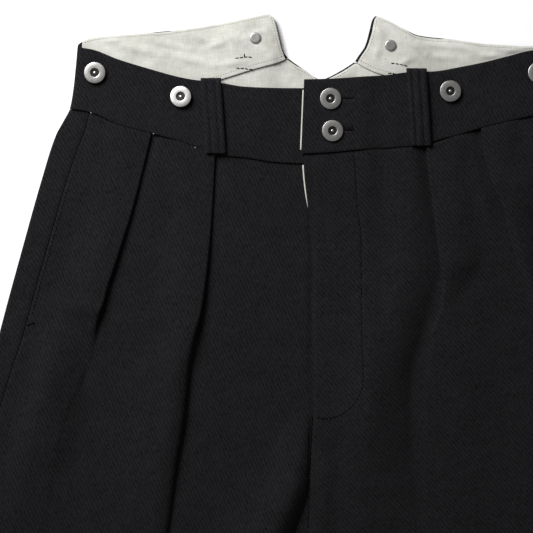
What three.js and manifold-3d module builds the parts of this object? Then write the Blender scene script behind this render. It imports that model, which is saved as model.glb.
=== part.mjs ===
// Work trousers laid flat on their back: high waist, fishtail back, button fly, two pleats a side.
// Millimetres, +Z up. X runs to the wearer's left, Y towards the waist and Z up off the surface.
// Most places are given as a distance out from the centre line, the same way on both sides.
import * as THREE from "three";
import { mergeVertices } from "three/addons/utils/BufferGeometryUtils.js";
import Module from "manifold-3d";

const wasm = await Module();
wasm.setup();

// Thickness of each cloth, and the gap that seams and touching layers keep.
const woolWall = 1.4;
const bandWall = 2.8;
const linenWall = 1.0;
const seamGap = 0.3;
const bandSeamGap = 0.6;

// Heights of the middle of each layer above the surface that the trousers lie on.
const backHeight = woolWall / 2;
const backBandHeight = bandWall / 2;
const bandLiningHeight = bandWall + seamGap + linenWall / 2;
const seatLiningHeight = woolWall + seamGap + linenWall / 2;
const frontBandHeight = 6.5;
const sideHeight = 5.0;
const inseamHeight = 4.4;
const pleatFloor = 3.4;
const frontRise = 1.9;

// Lengths down the garment, from the top of the waistband at the fly.
const crotchY = -385;
const hemY = -1040;
const levelY = -400;
const flyEndY = -270;
const crotchShift = 11.5;

// Folded side edge of band and legs: how far out it lies, how far the back wraps over it to the
// side seam, and how much nearer to the centre line the wearer's left side is.
const sideRows = [
  { y: 34, outer: 192, strip: 16, leftInset: 4 },
  { y: 28, outer: 195.5, strip: 16, leftInset: 4 },
  { y: 12, outer: 197.2, strip: 16, leftInset: 4 },
  { y: -5, outer: 199, strip: 16, leftInset: 4 },
  { y: -22, outer: 202, strip: 16, leftInset: 4 },
  { y: -32, outer: 207, strip: 19, leftInset: 4 },
  { y: -44, outer: 213.5, strip: 22, leftInset: 4 },
  { y: -80, outer: 225, strip: 20.5, leftInset: 4.5 },
  { y: -128, outer: 238.5, strip: 19.8, leftInset: 5.5 },
  { y: -200, outer: 258, strip: 19.4, leftInset: 8 },
  { y: -230, outer: 265.3, strip: 17, leftInset: 9.5 },
  { y: -260, outer: 272.3, strip: 14.6, leftInset: 11 },
  { y: -310, outer: 283.6, strip: 12.4, leftInset: 13 },
  { y: -385, outer: 299, strip: 11, leftInset: 16 },
  { y: -450, outer: 303, strip: 10, leftInset: 18 },
  { y: -650, outer: 293, strip: 10, leftInset: 20 },
  { y: -850, outer: 281, strip: 10, leftInset: 22 },
  { y: -1040, outer: 272, strip: 10, leftInset: 23 },
];

// Front edge of the fly overlap, and the centre front seam below it, as X.
const centreFrontRows = [
  { y: -50, x: -15 },
  { y: -68, x: -14.8 },
  { y: -104, x: -11.2 },
  { y: -129, x: -8.8 },
  { y: -150, x: -6.8 },
  { y: -181, x: -7.8 },
  { y: -229, x: -6.6 },
  { y: -250, x: -5.6 },
  { y: -270, x: -7.2 },
  { y: -320, x: -9.6 },
  { y: -385, x: -11.5 },
];

// How far each inner leg edge lies from the crotch point.
const inseamRows = [
  { y: -385, apart: 0 },
  { y: -395, apart: 1.2 },
  { y: -425, apart: 8 },
  { y: -460, apart: 14 },
  { y: -540, apart: 22 },
  { y: -650, apart: 30 },
  { y: -850, apart: 38 },
  { y: -1040, apart: 44 },
];

// Free edge of the fly opening beneath the overlap, and the width of the shield beyond it.
const underlapX = 25;
const shieldRows = [
  { y: -40, inner: 4, outer: 30 },
  { y: -225, inner: 4, outer: 30 },
  { y: -248, inner: 3, outer: 24 },
  { y: -262, inner: -1, outer: 12 },
  { y: -270, inner: -7.2, outer: 4 },
];

// What lies one above the other at the fly lifts the wearer's left side by these heights.
const bandOverlapLift = bandWall + linenWall + 2 * seamGap;
const overlapLiftRows = [
  { y: 0, lift: 4.2 },
  { y: -62, lift: 4.2 },
  { y: -110, lift: 3.1 },
  { y: -262, lift: 3.1 },
  { y: -296, lift: 0 },
];

// Each side of the body. The band's rows give its top edge and its lower seam by distance from
// the centre line, and the notch gives the fishtail's edge from its foot to its peak. A pleat's
// rows give its folded edge, the depth of cloth folded under, its turn in degrees and its radius.
const sides = {
  right: {
    sign: -1,
    bandEnd: { top: -underlapX, foot: -underlapX },
    frontBand: [
      { out: -25, top: -6.4, seam: -67 },
      { out: 15, top: -6.4, seam: -67 },
      { out: 38, top: -6.3, seam: -65.8 },
      { out: 62, top: -5.4, seam: -62.2 },
      { out: 76, top: -3.2, seam: -61 },
      { out: 90, top: -1, seam: -57.8 },
      { out: 102, top: 0.2, seam: -53.2 },
      { out: 114, top: 2.4, seam: -48.8 },
      { out: 136, top: 8.4, seam: -42.8 },
      { out: 163, top: 16.6, seam: -35.6 },
      { out: 185, top: 24.8, seam: -26 },
      { out: 202, top: 27, seam: -23 },
    ],
    backBand: [
      { out: 28, top: 53, seam: 18.4 },
      { out: 36, top: 53, seam: 14.9 },
      { out: 42, top: 53, seam: 13.2 },
      { out: 56, top: 50.4, seam: 9.4 },
      { out: 82, top: 45.6, seam: 1.4 },
      { out: 110, top: 41.2, seam: -6 },
      { out: 150, top: 37.6, seam: -15 },
      { out: 180, top: 35, seam: -20 },
      { out: 190, top: 32.6, seam: -21.6 },
      { out: 202, top: 25, seam: -23 },
    ],
    notch: [
      { rise: 0, out: 27.6 },
      { rise: 0.2, out: 31.4 },
      { rise: 0.45, out: 33.8 },
      { rise: 0.76, out: 36.6 },
      { rise: 0.94, out: 38.8 },
      { rise: 1, out: 42 },
    ],
    seatEdge: [
      { out: 0, y: 0.8 },
      { out: 4, y: 1.8 },
      { out: 12, y: 7.6 },
      { out: 20, y: 13 },
      { out: 27.6, y: 18.4 },
    ],
    pleats: [
      [
        { y: -61, edge: 85.4, depth: 20, turn: 180, radius: 0.9 },
        { y: -101, edge: 87.4, depth: 16, turn: 180, radius: 0.9 },
        { y: -140, edge: 90.4, depth: 12, turn: 180, radius: 1.1 },
        { y: -180, edge: 95.2, depth: 8.5, turn: 180, radius: 1.4 },
        { y: -229, edge: 104.4, depth: 5, turn: 180, radius: 2 },
        { y: -263, edge: 107.6, depth: 3, turn: 176, radius: 2.2 },
        { y: -312, edge: 112.8, depth: 0.8, turn: 145, radius: 2.4 },
        { y: -362, edge: 120, depth: 0.6, turn: 105, radius: 2.6 },
        { y: -420, edge: 127, depth: 0.6, turn: 66, radius: 3.4 },
        { y: -520, edge: 135, depth: 0.6, turn: 34, radius: 6 },
        { y: -700, edge: 142, depth: 1, turn: 7, radius: 22 },
        { y: -1040, edge: 150, depth: 1, turn: 7, radius: 22 },
      ],
      [
        { y: -44, edge: 136.4, depth: 17, turn: 180, radius: 0.9 },
        { y: -72, edge: 143.2, depth: 14, turn: 180, radius: 0.9 },
        { y: -104, edge: 151.5, depth: 11, turn: 180, radius: 1.1 },
        { y: -140, edge: 162.6, depth: 6, turn: 180, radius: 1.5 },
        { y: -177, edge: 173.6, depth: 2.5, turn: 176, radius: 1.8 },
        { y: -202, edge: 178.2, depth: 0.8, turn: 140, radius: 2 },
        { y: -223, edge: 186, depth: 0.6, turn: 100, radius: 2.4 },
        { y: -251, edge: 200, depth: 0.6, turn: 60, radius: 4 },
        { y: -300, edge: 216, depth: 0.8, turn: 30, radius: 8 },
        { y: -450, edge: 228, depth: 1, turn: 7, radius: 22 },
        { y: -1040, edge: 222, depth: 1, turn: 7, radius: 22 },
      ],
    ],
  },
  left: {
    sign: 1,
    bandEnd: { top: -14.4, foot: -16.8 },
    frontBand: [
      { out: -25, top: 0, seam: -59.8 },
      { out: 6, top: 0.8, seam: -58.2 },
      { out: 31, top: 2.4, seam: -56 },
      { out: 53, top: 4, seam: -54.6 },
      { out: 68, top: 6, seam: -53.4 },
      { out: 82, top: 6.6, seam: -53 },
      { out: 90, top: 7, seam: -49.4 },
      { out: 110, top: 10.4, seam: -43.7 },
      { out: 129, top: 14.2, seam: -38 },
      { out: 149, top: 19.2, seam: -33 },
      { out: 169, top: 24, seam: -28.6 },
      { out: 198, top: 26, seam: -23 },
    ],
    backBand: [
      { out: 27, top: 51.8, seam: 15.6 },
      { out: 36, top: 51.8, seam: 10.4 },
      { out: 42, top: 51.8, seam: 7.6 },
      { out: 50, top: 49.4, seam: 5 },
      { out: 66, top: 41, seam: 1.2 },
      { out: 78, top: 36, seam: -2 },
      { out: 104, top: 33.2, seam: -8.4 },
      { out: 130, top: 29.6, seam: -13.4 },
      { out: 162, top: 27.8, seam: -18.6 },
      { out: 186, top: 27.4, seam: -21.6 },
      { out: 198, top: 24, seam: -23 },
    ],
    notch: [
      { rise: 0, out: 26.8 },
      { rise: 0.16, out: 29.6 },
      { rise: 0.4, out: 34.6 },
      { rise: 0.7, out: 38 },
      { rise: 0.94, out: 40.6 },
      { rise: 1, out: 43 },
    ],
    seatEdge: [
      { out: 0, y: 0.8 },
      { out: 4, y: 2.2 },
      { out: 13, y: 6.8 },
      { out: 21, y: 11.6 },
      { out: 26.8, y: 15.6 },
    ],
    pleats: [
      [
        { y: -53, edge: 83, depth: 18, turn: 180, radius: 0.9 },
        { y: -83, edge: 86.4, depth: 12, turn: 180, radius: 1.1 },
        { y: -119, edge: 90.4, depth: 7, turn: 180, radius: 1.6 },
        { y: -144, edge: 92.6, depth: 3, turn: 172, radius: 2 },
        { y: -165, edge: 92, depth: 0.8, turn: 138, radius: 2.3 },
        { y: -186, edge: 86, depth: 0.6, turn: 105, radius: 2.8 },
        { y: -206, edge: 78, depth: 0.6, turn: 84, radius: 3.2 },
        { y: -266, edge: 70, depth: 0.6, turn: 60, radius: 4.4 },
        { y: -320, edge: 68, depth: 0.8, turn: 44, radius: 6 },
        { y: -420, edge: 80, depth: 0.8, turn: 20, radius: 8 },
        { y: -700, edge: 118, depth: 1, turn: 7, radius: 22 },
        { y: -1040, edge: 130, depth: 1, turn: 7, radius: 22 },
      ],
      [
        { y: -38, edge: 127.2, depth: 15, turn: 180, radius: 0.9 },
        { y: -58, edge: 129.4, depth: 9, turn: 180, radius: 1 },
        { y: -78, edge: 134.4, depth: 4, turn: 174, radius: 1.3 },
        { y: -99, edge: 141, depth: 1, turn: 135, radius: 1.8 },
        { y: -118, edge: 147, depth: 0.6, turn: 92, radius: 2.4 },
        { y: -150, edge: 156, depth: 0.6, turn: 58, radius: 4 },
        { y: -200, edge: 170, depth: 0.8, turn: 34, radius: 8 },
        { y: -300, edge: 190, depth: 1, turn: 10, radius: 16 },
        { y: -1040, edge: 205, depth: 1, turn: 7, radius: 22 },
      ],
    ],
  },
};

// How a front's height runs: its rise to the band, the fade of a pleat's dip, its rise to the side
// fold and the inner leg edge, and where the overlap at the fly comes down again.
const frontShape = {
  lowFloor: 3.05,
  floor: { from: -200, over: 110 },
  bandRise: { from: -130, over: 70 },
  dip: { beyond: 4, before: 2, over: 26 },
  sideRise: { from: 55, over: 45 },
  overlap: { from: 33, over: 20 },
  inseamRise: { below: 10, over: 30 },
};
const bandOverlap = { from: 29, over: 20 };
const curlShape = { flatLength: 2.6, above: 4, over: 22 };
const topLayer = { clear: 1, over: 20, perRise: 5 };

// Soft folds of the fronts, each a ridge or trough from one place to another, in X and Y.
const frontFolds = [
  { x0: -18, y0: -282, x1: -44, y1: -392, height: 4.2, width: 13 },
  { x0: -10, y0: -300, x1: -21, y1: -388, height: -1, width: 8 },
  { x0: 0, y0: -285, x1: 0, y1: -392, height: 3.4, width: 9 },
  { x0: 70, y0: -255, x1: 66, y1: -325, height: -0.8, width: 20 },
  { x0: -60, y0: -120, x1: -78, y1: -330, height: 0.5, width: 24 },
  { x0: 36, y0: -110, x1: 44, y1: -330, height: 1.6, width: 20 },
  { x0: 112, y0: -90, x1: 104, y1: -330, height: 2.2, width: 20 },
  { x0: -160, y0: -250, x1: -120, y1: -380, height: 0.6, width: 22 },
  { x0: 190, y0: -230, x1: 140, y1: -400, height: 0.7, width: 22 },
  { x0: -40, y0: -400, x1: -130, y1: -520, height: 0.9, width: 16 },
  { x0: 24, y0: -398, x1: 110, y1: -505, height: 0.8, width: 18 },
  { x0: -90, y0: -640, x1: -210, y1: -705, height: 0.7, width: 20 },
  { x0: 85, y0: -675, x1: 215, y1: -625, height: 0.8, width: 18 },
];

// Belt loops lie between two places of their middle line. Buttons and tack caps are placed by
// their centres, and the back ones press the layers above them up off the surface.
const loopWidth = 16.5;
const loopThick = 1.8;
const frontLoops = {
  right: { topOut: 88.9, footOut: 84.7 },
  left: { topOut: 75.5, footOut: 79.4 },
};
const backLoop = { out: 62, topY: 18, footY: -42 };
const button = { radius: 8.5, height: 3.4, flange: 1.6, shank: 3, flyShank: 2.2 };
const flyButtons = { upper: { x: 6.4, y: -15.2 }, lower: { x: 8, y: -40.8 } };
const buttonhole = { from: 4, to: 25, wide: 1.4, eye: 3.1 };
const braceButtons = {
  right_outer: { x: -181.6, y: 5.6 },
  right_inner: { x: -112.8, y: -13.6 },
  left_inner: { x: 102.4, y: -9 },
  left_outer: { x: 172.8, y: 5.6 },
};
const backButtons = { right: { x: -53.3, y: 33.6 }, left: { x: 54.8, y: 27.7 } };
const cap = { radius: 4.5, height: 1.3 };
const buttonPress = { lift: button.height + seamGap, reach: 9.5, fade: 27 };
const loopPress = { lift: loopThick + seamGap, reach: loopWidth / 2 + 1, fade: 30 };

// Finishes.
const finishes = {
  wool: { color: 0x1e1e20, roughness: 0.95, metalness: 0 },
  linen: { color: 0xd6d6cc, roughness: 0.9, metalness: 0 },
  metal: { color: 0x8f8f8c, roughness: 0.45, metalness: 1 },
};

// Small sums

const mix = (a, b, part) => a + (b - a) * part;
const clamp = (value, low = 0, high = 1) => Math.min(high, Math.max(low, value));
const ease = (value) => clamp(value) ** 2 * (3 - 2 * clamp(value));

// Smooth line through a table's rows that never swings past them, level beyond its ends.
function along(table, key, column) {
  const rows = [...table].sort((a, b) => a[key] - b[key]);
  const rate = (i) => (rows[i + 1][column] - rows[i][column]) / (rows[i + 1][key] - rows[i][key]);
  const slope = (i) => {
    if (i === 0) return rate(0);
    if (i === rows.length - 1) return rate(i - 1);
    const [before, after] = [rate(i - 1), rate(i)];
    return before * after > 0 ? (2 * before * after) / (before + after) : 0;
  };
  return (at) => {
    if (at <= rows[0][key]) return rows[0][column];
    if (at >= rows.at(-1)[key]) return rows.at(-1)[column];
    const i = rows.findIndex((row) => row[key] > at) - 1;
    const span = rows[i + 1][key] - rows[i][key];
    const t = (at - rows[i][key]) / span;
    const [a, b] = [rows[i][column], rows[i + 1][column]];
    const [tangentA, tangentB] = [slope(i) * span, slope(i + 1) * span];
    return a * (2 * t ** 3 - 3 * t ** 2 + 1) + tangentA * (t ** 3 - 2 * t ** 2 + t)
      + b * (3 * t ** 2 - 2 * t ** 3) + tangentB * (t ** 3 - t ** 2);
  };
}

const outerAt = along(sideRows, "y", "outer");
const stripAt = along(sideRows, "y", "strip");
const leftInsetAt = along(sideRows, "y", "leftInset");
const centreFrontAt = along(centreFrontRows, "y", "x");
const apartAt = along(inseamRows, "y", "apart");
const shieldInnerAt = along(shieldRows, "y", "inner");
const shieldOuterAt = along(shieldRows, "y", "outer");
const overlapLiftAt = along(overlapLiftRows, "y", "lift");

for (const side of Object.values(sides)) {
  side.frontTop = along(side.frontBand, "out", "top");
  side.frontSeam = along(side.frontBand, "out", "seam");
  side.backTop = along(side.backBand, "out", "top");
  side.backSeam = along(side.backBand, "out", "seam");
  side.notchAt = along(side.notch, "rise", "out");
  side.seatEdgeAt = along(side.seatEdge, "out", "y");
  side.notchFoot = side.notch[0].out;
  side.pleatLines = side.pleats.map((table) => ({
    edge: along(table, "y", "edge"),
    depth: along(table, "y", "depth"),
    turn: along(table, "y", "turn"),
    radius: along(table, "y", "radius"),
  }));
  side.outer = (y) => outerAt(y) - (side.sign > 0 ? leftInsetAt(y) : 0);
  side.sideSeam = (y) => side.outer(y) - stripAt(y);
}

// Upper edge of the back panel: the fishtail's notch, then the band's lower seam.
function backPanelTop(side, out) {
  return out < side.notchFoot ? side.seatEdgeAt(out) : side.backSeam(out);
}

// Centre back line above the crotch, inner leg edge below it, as a distance out.
function innerEdge(side, y, centreX) {
  const crotchOut = -side.sign * crotchShift;
  return y > crotchY ? side.sign * centreX + seamGap / 2 : crotchOut + seamGap / 2 + apartAt(y);
}

const centreBackAt = (y) => -crotchShift * clamp(y / crotchY);

// How far the layers ride up over the buttons and loops that lie beneath the back.
function pressedUp(x, y) {
  const side = x < 0 ? "right" : "left";
  const fromButton = Math.hypot(x - backButtons[side].x, y - backButtons[side].y);
  const overButton = 1 - ease((fromButton - buttonPress.reach) / buttonPress.fade);
  const pastSide = Math.max(Math.abs(Math.abs(x) - backLoop.out) - loopPress.reach, 0);
  const loopMiddle = (backLoop.topY + backLoop.footY) / 2;
  const loopHalf = (backLoop.topY - backLoop.footY) / 2 + 1;
  const pastEnd = Math.max(Math.abs(y - loopMiddle) - loopHalf, 0);
  const overLoop = 1 - ease(Math.hypot(pastSide, pastEnd) / loopPress.fade);
  return buttonPress.lift * overButton + (1 - overButton) * loopPress.lift * overLoop;
}

// One point of a cloth surface, with the direction of the cloth's thickness.
function clothPoint(side, out, y, height, tilt = 0) {
  const x = side.sign * out;
  return {
    x,
    y,
    z: height + pressedUp(x, y),
    nx: -side.sign * Math.sin(tilt),
    ny: 0,
    nz: Math.cos(tilt),
  };
}

// Solids

// Closes a grid of surface points into a wall with its faces pointing out.
function wall(rows, thickness) {
  const width = rows[0].length;
  const layer = rows.length * width;
  const positions = [];
  const index = [];
  for (const part of [0.5, -0.5]) {
    for (const point of rows.flat()) {
      const offset = part * thickness;
      positions.push(point.x + point.nx * offset);
      positions.push(point.y + point.ny * offset);
      positions.push(point.z + point.nz * offset);
    }
  }
  const at = (row, column) => row * width + column;
  const quad = (a, b, c, d) => index.push(a, b, c, a, c, d);
  for (let row = 0; row < rows.length - 1; row += 1) {
    for (let column = 0; column < width - 1; column += 1) {
      const corners = [at(row, column), at(row, column + 1), at(row + 1, column + 1), at(row + 1, column)];
      quad(...corners);
      quad(...corners.map((corner) => corner + layer).reverse());
    }
  }
  const rim = [];
  for (let column = 0; column < width - 1; column += 1) rim.push(at(0, column));
  for (let row = 0; row < rows.length - 1; row += 1) rim.push(at(row, width - 1));
  for (let column = width - 1; column > 0; column -= 1) rim.push(at(rows.length - 1, column));
  for (let row = rows.length - 1; row > 0; row -= 1) rim.push(at(row, 0));
  rim.forEach((corner, i) => {
    const next = rim[(i + 1) % rim.length];
    quad(next, corner, corner + layer, next + layer);
  });
  return facingOut(positions, index);
}

function facingOut(positions, index) {
  const corner = (i) => new THREE.Vector3().fromArray(positions, 3 * index[i]);
  let volume = 0;
  for (let i = 0; i < index.length; i += 3) {
    volume += corner(i).dot(corner(i + 1).cross(corner(i + 2)));
  }
  if (volume < 0) index.reverse();
  const geometry = new THREE.BufferGeometry();
  geometry.setAttribute("position", new THREE.Float32BufferAttribute(positions, 3));
  geometry.setIndex(index);
  return geometry;
}

function asSolid(geometry) {
  const bare = geometry.clone();
  bare.deleteAttribute("normal");
  bare.deleteAttribute("uv");
  const merged = mergeVertices(bare, 1e-4);
  const mesh = new wasm.Mesh({
    numProp: 3,
    vertProperties: new Float32Array(merged.attributes.position.array),
    triVerts: new Uint32Array(merged.index.array),
  });
  return new wasm.Manifold(mesh);
}

function fromSolid(solid) {
  const mesh = solid.getMesh();
  const geometry = new THREE.BufferGeometry();
  geometry.setAttribute("position", new THREE.BufferAttribute(mesh.vertProperties, 3));
  geometry.setIndex(new THREE.BufferAttribute(mesh.triVerts, 1));
  return geometry;
}

// A line drawn step by step in a section: straight ahead, or round a turn.
function startLine(out, height, heading = 0) {
  const pen = { out, height, heading, points: [] };
  pen.mark = () => pen.points.push({ out: pen.out, height: pen.height, tilt: pen.heading });
  pen.turn = (angle, radius, steps) => {
    const bend = Math.sign(angle);
    const centreOut = pen.out - bend * radius * Math.sin(pen.heading);
    const centreHeight = pen.height + bend * radius * Math.cos(pen.heading);
    for (let i = 0; i < steps; i += 1) {
      pen.heading += angle / steps;
      pen.out = centreOut + bend * radius * Math.sin(pen.heading);
      pen.height = centreHeight - bend * radius * Math.cos(pen.heading);
      pen.mark();
    }
  };
  pen.ahead = (length) => {
    pen.out += length * Math.cos(pen.heading);
    pen.height += length * Math.sin(pen.heading);
    pen.mark();
  };
  return pen;
}

// Fronts

// Rows of a panel follow its curved upper edge and level out towards the crotch.
function levelled(y, top, panelTop) {
  return y + (top - panelTop) * clamp((y - levelY) / (panelTop - levelY));
}

// A place that depends on its own height: out by row, settled in a few rounds.
function settle(outAt, heightAt, y) {
  let out = outAt(y);
  for (let round = 0; round < 4; round += 1) out = outAt(heightAt(out));
  return out;
}

function foldHeight(x, y) {
  let height = 0;
  for (const fold of frontFolds) {
    const [dx, dy] = [fold.x1 - fold.x0, fold.y1 - fold.y0];
    const length = Math.hypot(dx, dy);
    const part = ((x - fold.x0) * dx + (y - fold.y0) * dy) / length ** 2;
    const across = Math.abs((x - fold.x0) * dy - (y - fold.y0) * dx) / length;
    const past = Math.max(-part, part - 1, 0) * length;
    const faded = Math.sin(Math.PI * clamp(part, 0.12, 0.88));
    height += fold.height * faded * Math.exp(-((across ** 2 + past ** 2) / fold.width ** 2));
  }
  return height;
}

// Height of a front panel before its pleats: it rises to the band, dips at each pleat's root,
// rises to the side fold and to the inner leg edge, and rides over what lies at the fly.
function frontBase(side, out, y, folds) {
  const near = ease((y - frontShape.bandRise.from) / frontShape.bandRise.over);
  let dip = 0;
  for (const fold of folds) {
    const before = fold.edge - frontShape.dip.before - out;
    const beyond = out - fold.edge - fold.depth - frontShape.dip.beyond;
    dip = Math.max(dip, 1 - ease(Math.max(before, beyond, 0) / frontShape.dip.over));
  }
  const floorPart = ease((y - frontShape.floor.from) / frontShape.floor.over);
  const floor = mix(frontShape.lowFloor, pleatFloor, floorPart);
  const bandRise = frontRise * near * (1 - dip);
  const fromSide = side.outer(y) - out;
  const sideRise = ease((frontShape.sideRise.from - fromSide) / frontShape.sideRise.over);
  const overlapPart = 1 - ease((out - frontShape.overlap.from) / frontShape.overlap.over);
  const overlap = side.sign > 0 ? overlapLiftAt(y) * overlapPart : 0;
  const { below, over } = frontShape.inseamRise;
  const legEdge = innerEdge(side, y, centreFrontAt(y));
  const inseamRise = ease((crotchY + below - y) / over) * (1 - ease((out - legEdge) / over));
  const creases = foldHeight(side.sign * out, y) * (1 - sideRise);
  let height = floor + bandRise + overlap + creases;
  height = mix(height, sideHeight, sideRise);
  return mix(height, inseamHeight, inseamRise);
}

const frontRows = [-62, -76, -94, -118, -146, -176, -208, -240, -258, -268, -280, -305, -340, -374,
  -387, -398, -411, -436, -485, -570, -700, -860, hemY];
const turnSteps = 3;

function frontInnerOut(side, y) {
  if (side.sign > 0 || y < flyEndY) return innerEdge(side, y, centreFrontAt(y));
  return -shieldInnerAt(y);
}

// The inner edge of a leg turns through a quarter circle below the crotch and is flat above it.
function innerCurl(y) {
  const angle = (Math.PI / 2) * ease((crotchY + curlShape.above - y) / curlShape.over);
  const radius = (inseamHeight - backHeight - seamGap) / 2;
  const width = mix(curlShape.flatLength, radius, Math.sin(angle));
  const steps = [1, 0.5].map((part) => ({
    bend: angle * part,
    inward: width * mix(part, Math.sin(angle * part), Math.sin(angle)),
    drop: radius * (1 - Math.cos(angle * part)),
  }));
  return { width, steps };
}

function frontSection(side, rowY) {
  const panelTop = frontRows[0];
  const heightAt = (out) => levelled(rowY, side.frontSeam(out) - bandSeamGap, panelTop);
  const innerOut = settle((y) => frontInnerOut(side, y), heightAt, rowY);
  const seamOut = settle((y) => side.sideSeam(y), heightAt, rowY) - seamGap;
  const folds = side.pleatLines.map((line) => {
    const edge = settle(line.edge, heightAt, rowY);
    const y = heightAt(edge);
    return {
      edge,
      depth: line.depth(y),
      turn: THREE.MathUtils.degToRad(line.turn(y)),
      radius: line.radius(y),
    };
  });
  const base = (out) => frontBase(side, out, heightAt(out), folds);
  const section = [];
  const put = (out, height, tilt) => {
    section.push(clothPoint(side, out, heightAt(out), height + base(out), tilt));
  };
  const slope = (out, carried) => {
    const step = 0.5;
    const rise = base(out + step) + carried(out + step) - base(out - step) - carried(out - step);
    return Math.atan(rise / (2 * step));
  };
  const run = (from, to, count, carried) => {
    for (let i = 0; i < count; i += 1) {
      const out = mix(from, to, i / count);
      put(out, carried(out), slope(out, carried));
    }
  };

  const curl = innerCurl(heightAt(innerOut));
  let from = innerOut + curl.width;
  for (const step of curl.steps) put(from - step.inward, -step.drop, step.bend);
  let carried = () => 0;
  for (const fold of folds) {
    const half = woolWall / 2;
    const backBend = (1 - Math.cos(fold.turn)) / 2;
    const root = fold.edge - fold.depth * Math.cos(fold.turn) + (fold.radius + half) * backBend;
    const under = Math.min(fold.edge, root - 3);
    run(from, under, fold === folds[0] ? 4 : 3, carried);
    run(under, root, 2, carried);
    const level = carried(root);
    const pen = startLine(root, level);
    pen.mark();
    pen.turn(fold.turn, fold.radius, turnSteps);
    pen.ahead(fold.depth / 2);
    pen.ahead(fold.depth / 2);
    pen.turn(-fold.turn, fold.radius, turnSteps);
    for (const point of pen.points) put(point.out, point.height, point.tilt);
    const crest = pen.height;
    const shoulder = root + fold.radius + half + topLayer.clear;
    const over = clamp(topLayer.perRise * crest, topLayer.over, 2 * topLayer.over);
    carried = (out) => crest * (1 - ease((out - shoulder) / over));
    from = Math.max(shoulder, pen.out + topLayer.clear);
  }
  run(from, seamOut, 4, carried);
  put(seamOut, carried(seamOut), slope(seamOut, carried));
  return section;
}

function frontPanel(side) {
  return wall(frontRows.map((rowY) => frontSection(side, rowY)), woolWall);
}

// Backs

const backRows = [1, -10, -22, -34, -48, -66, -90, -125, -165, -205, -240, -275, -325, -372, -387,
  -398, -411, -436, -485, -570, -700, -860, hemY];
const backColumns = [0.06, 0.136, 0.2, 0.27, 0.35, 0.46, 0.64, 0.84];
const foldSteps = 4;

function backPanelY(side, rowY, out, topOf) {
  return levelled(rowY, topOf(out) - bandSeamGap, backRows[0]);
}

// The stretch of a back row that lies flat on the surface, from its inner edge to the side fold.
function backRow(side, rowY) {
  const lowerY = (out) => backPanelY(side, rowY, out, (at) => backPanelTop(side, at));
  const upperY = (out) => backPanelY(side, rowY, out, side.frontSeam);
  const innerOut = settle((y) => innerEdge(side, y, centreBackAt(y)), lowerY, rowY);
  const curl = innerCurl(lowerY(innerOut));
  const radius = (sideHeight - backHeight) / 2;
  const turnOut = settle(side.outer, upperY, rowY) - radius - woolWall / 2;
  const flatFrom = innerOut + curl.width;
  const flatOuts = [0, ...backColumns].map((part) => mix(flatFrom, turnOut, part));
  return { lowerY, upperY, curl, radius, turnOut, flatOuts };
}

function backSection(side, rowY) {
  const { lowerY, upperY, curl, radius, turnOut, flatOuts } = backRow(side, rowY);
  const seamOut = settle(side.sideSeam, upperY, rowY);
  const section = [];

  for (const step of curl.steps) {
    const out = flatOuts[0] - step.inward;
    section.push(clothPoint(side, out, lowerY(out), backHeight + step.drop, -step.bend));
  }
  for (const out of flatOuts) section.push(clothPoint(side, out, lowerY(out), backHeight));
  const pen = startLine(turnOut, backHeight);
  pen.mark();
  pen.turn(Math.PI, radius, foldSteps);
  pen.points.forEach((point, i) => {
    const y = mix(lowerY(point.out), upperY(point.out), i / foldSteps);
    section.push(clothPoint(side, point.out, y, point.height, point.tilt));
  });
  section.push(clothPoint(side, seamOut, upperY(seamOut), sideHeight, Math.PI));
  return section;
}

function backPanel(side) {
  return wall(backRows.map((rowY) => backSection(side, rowY)), woolWall);
}

// The seat's lining shows in the notch, below the band's lining.
function seatLining(side) {
  const inset = 1.1;
  const reach = { rows: 4, columns: 7 };
  const grid = backRows.slice(0, reach.rows).map((rowY) => {
    const { lowerY, flatOuts } = backRow(side, rowY);
    const outs = flatOuts.slice(0, reach.columns);
    return outs.map((out) => clothPoint(side, out, lowerY(out) - inset, seatLiningHeight));
  });
  return wall(grid, linenWall);
}

// Waistband

const bandAcross = [0, 0.2, 0.45, 0.75, 0.94, 1];
const bandFoldY = { foot: -23, top: 27 };
const backBandParts = [0.1, 0.28, 0.44, 0.57, 0.67, 0.75, 0.82, 0.88, 0.94, 1];
const frontBandSteps = 17;

function bandFold(side, across) {
  return side.outer(mix(bandFoldY.foot, bandFoldY.top, across));
}

function frontBandY(side, out, across) {
  return mix(side.frontSeam(out), side.frontTop(out), across);
}

// Middle height of the front band, lifted where the fly laps over.
function frontBandLevel(side, out) {
  const part = 1 - ease((out - bandOverlap.from) / bandOverlap.over);
  const overlap = side.sign > 0 ? bandOverlapLift * part : 0;
  return frontBandHeight + overlap;
}

// A place on the back band, from the side fold (0) to the notch (1), drawn in by an inset.
function backBandPlace(side, part, across, start, inset) {
  const out = mix(start, side.notchAt(across) + inset, part);
  const foot = side.backSeam(out);
  const top = side.backTop(out) - inset;
  return { out, y: mix(foot, top, across) };
}

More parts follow.
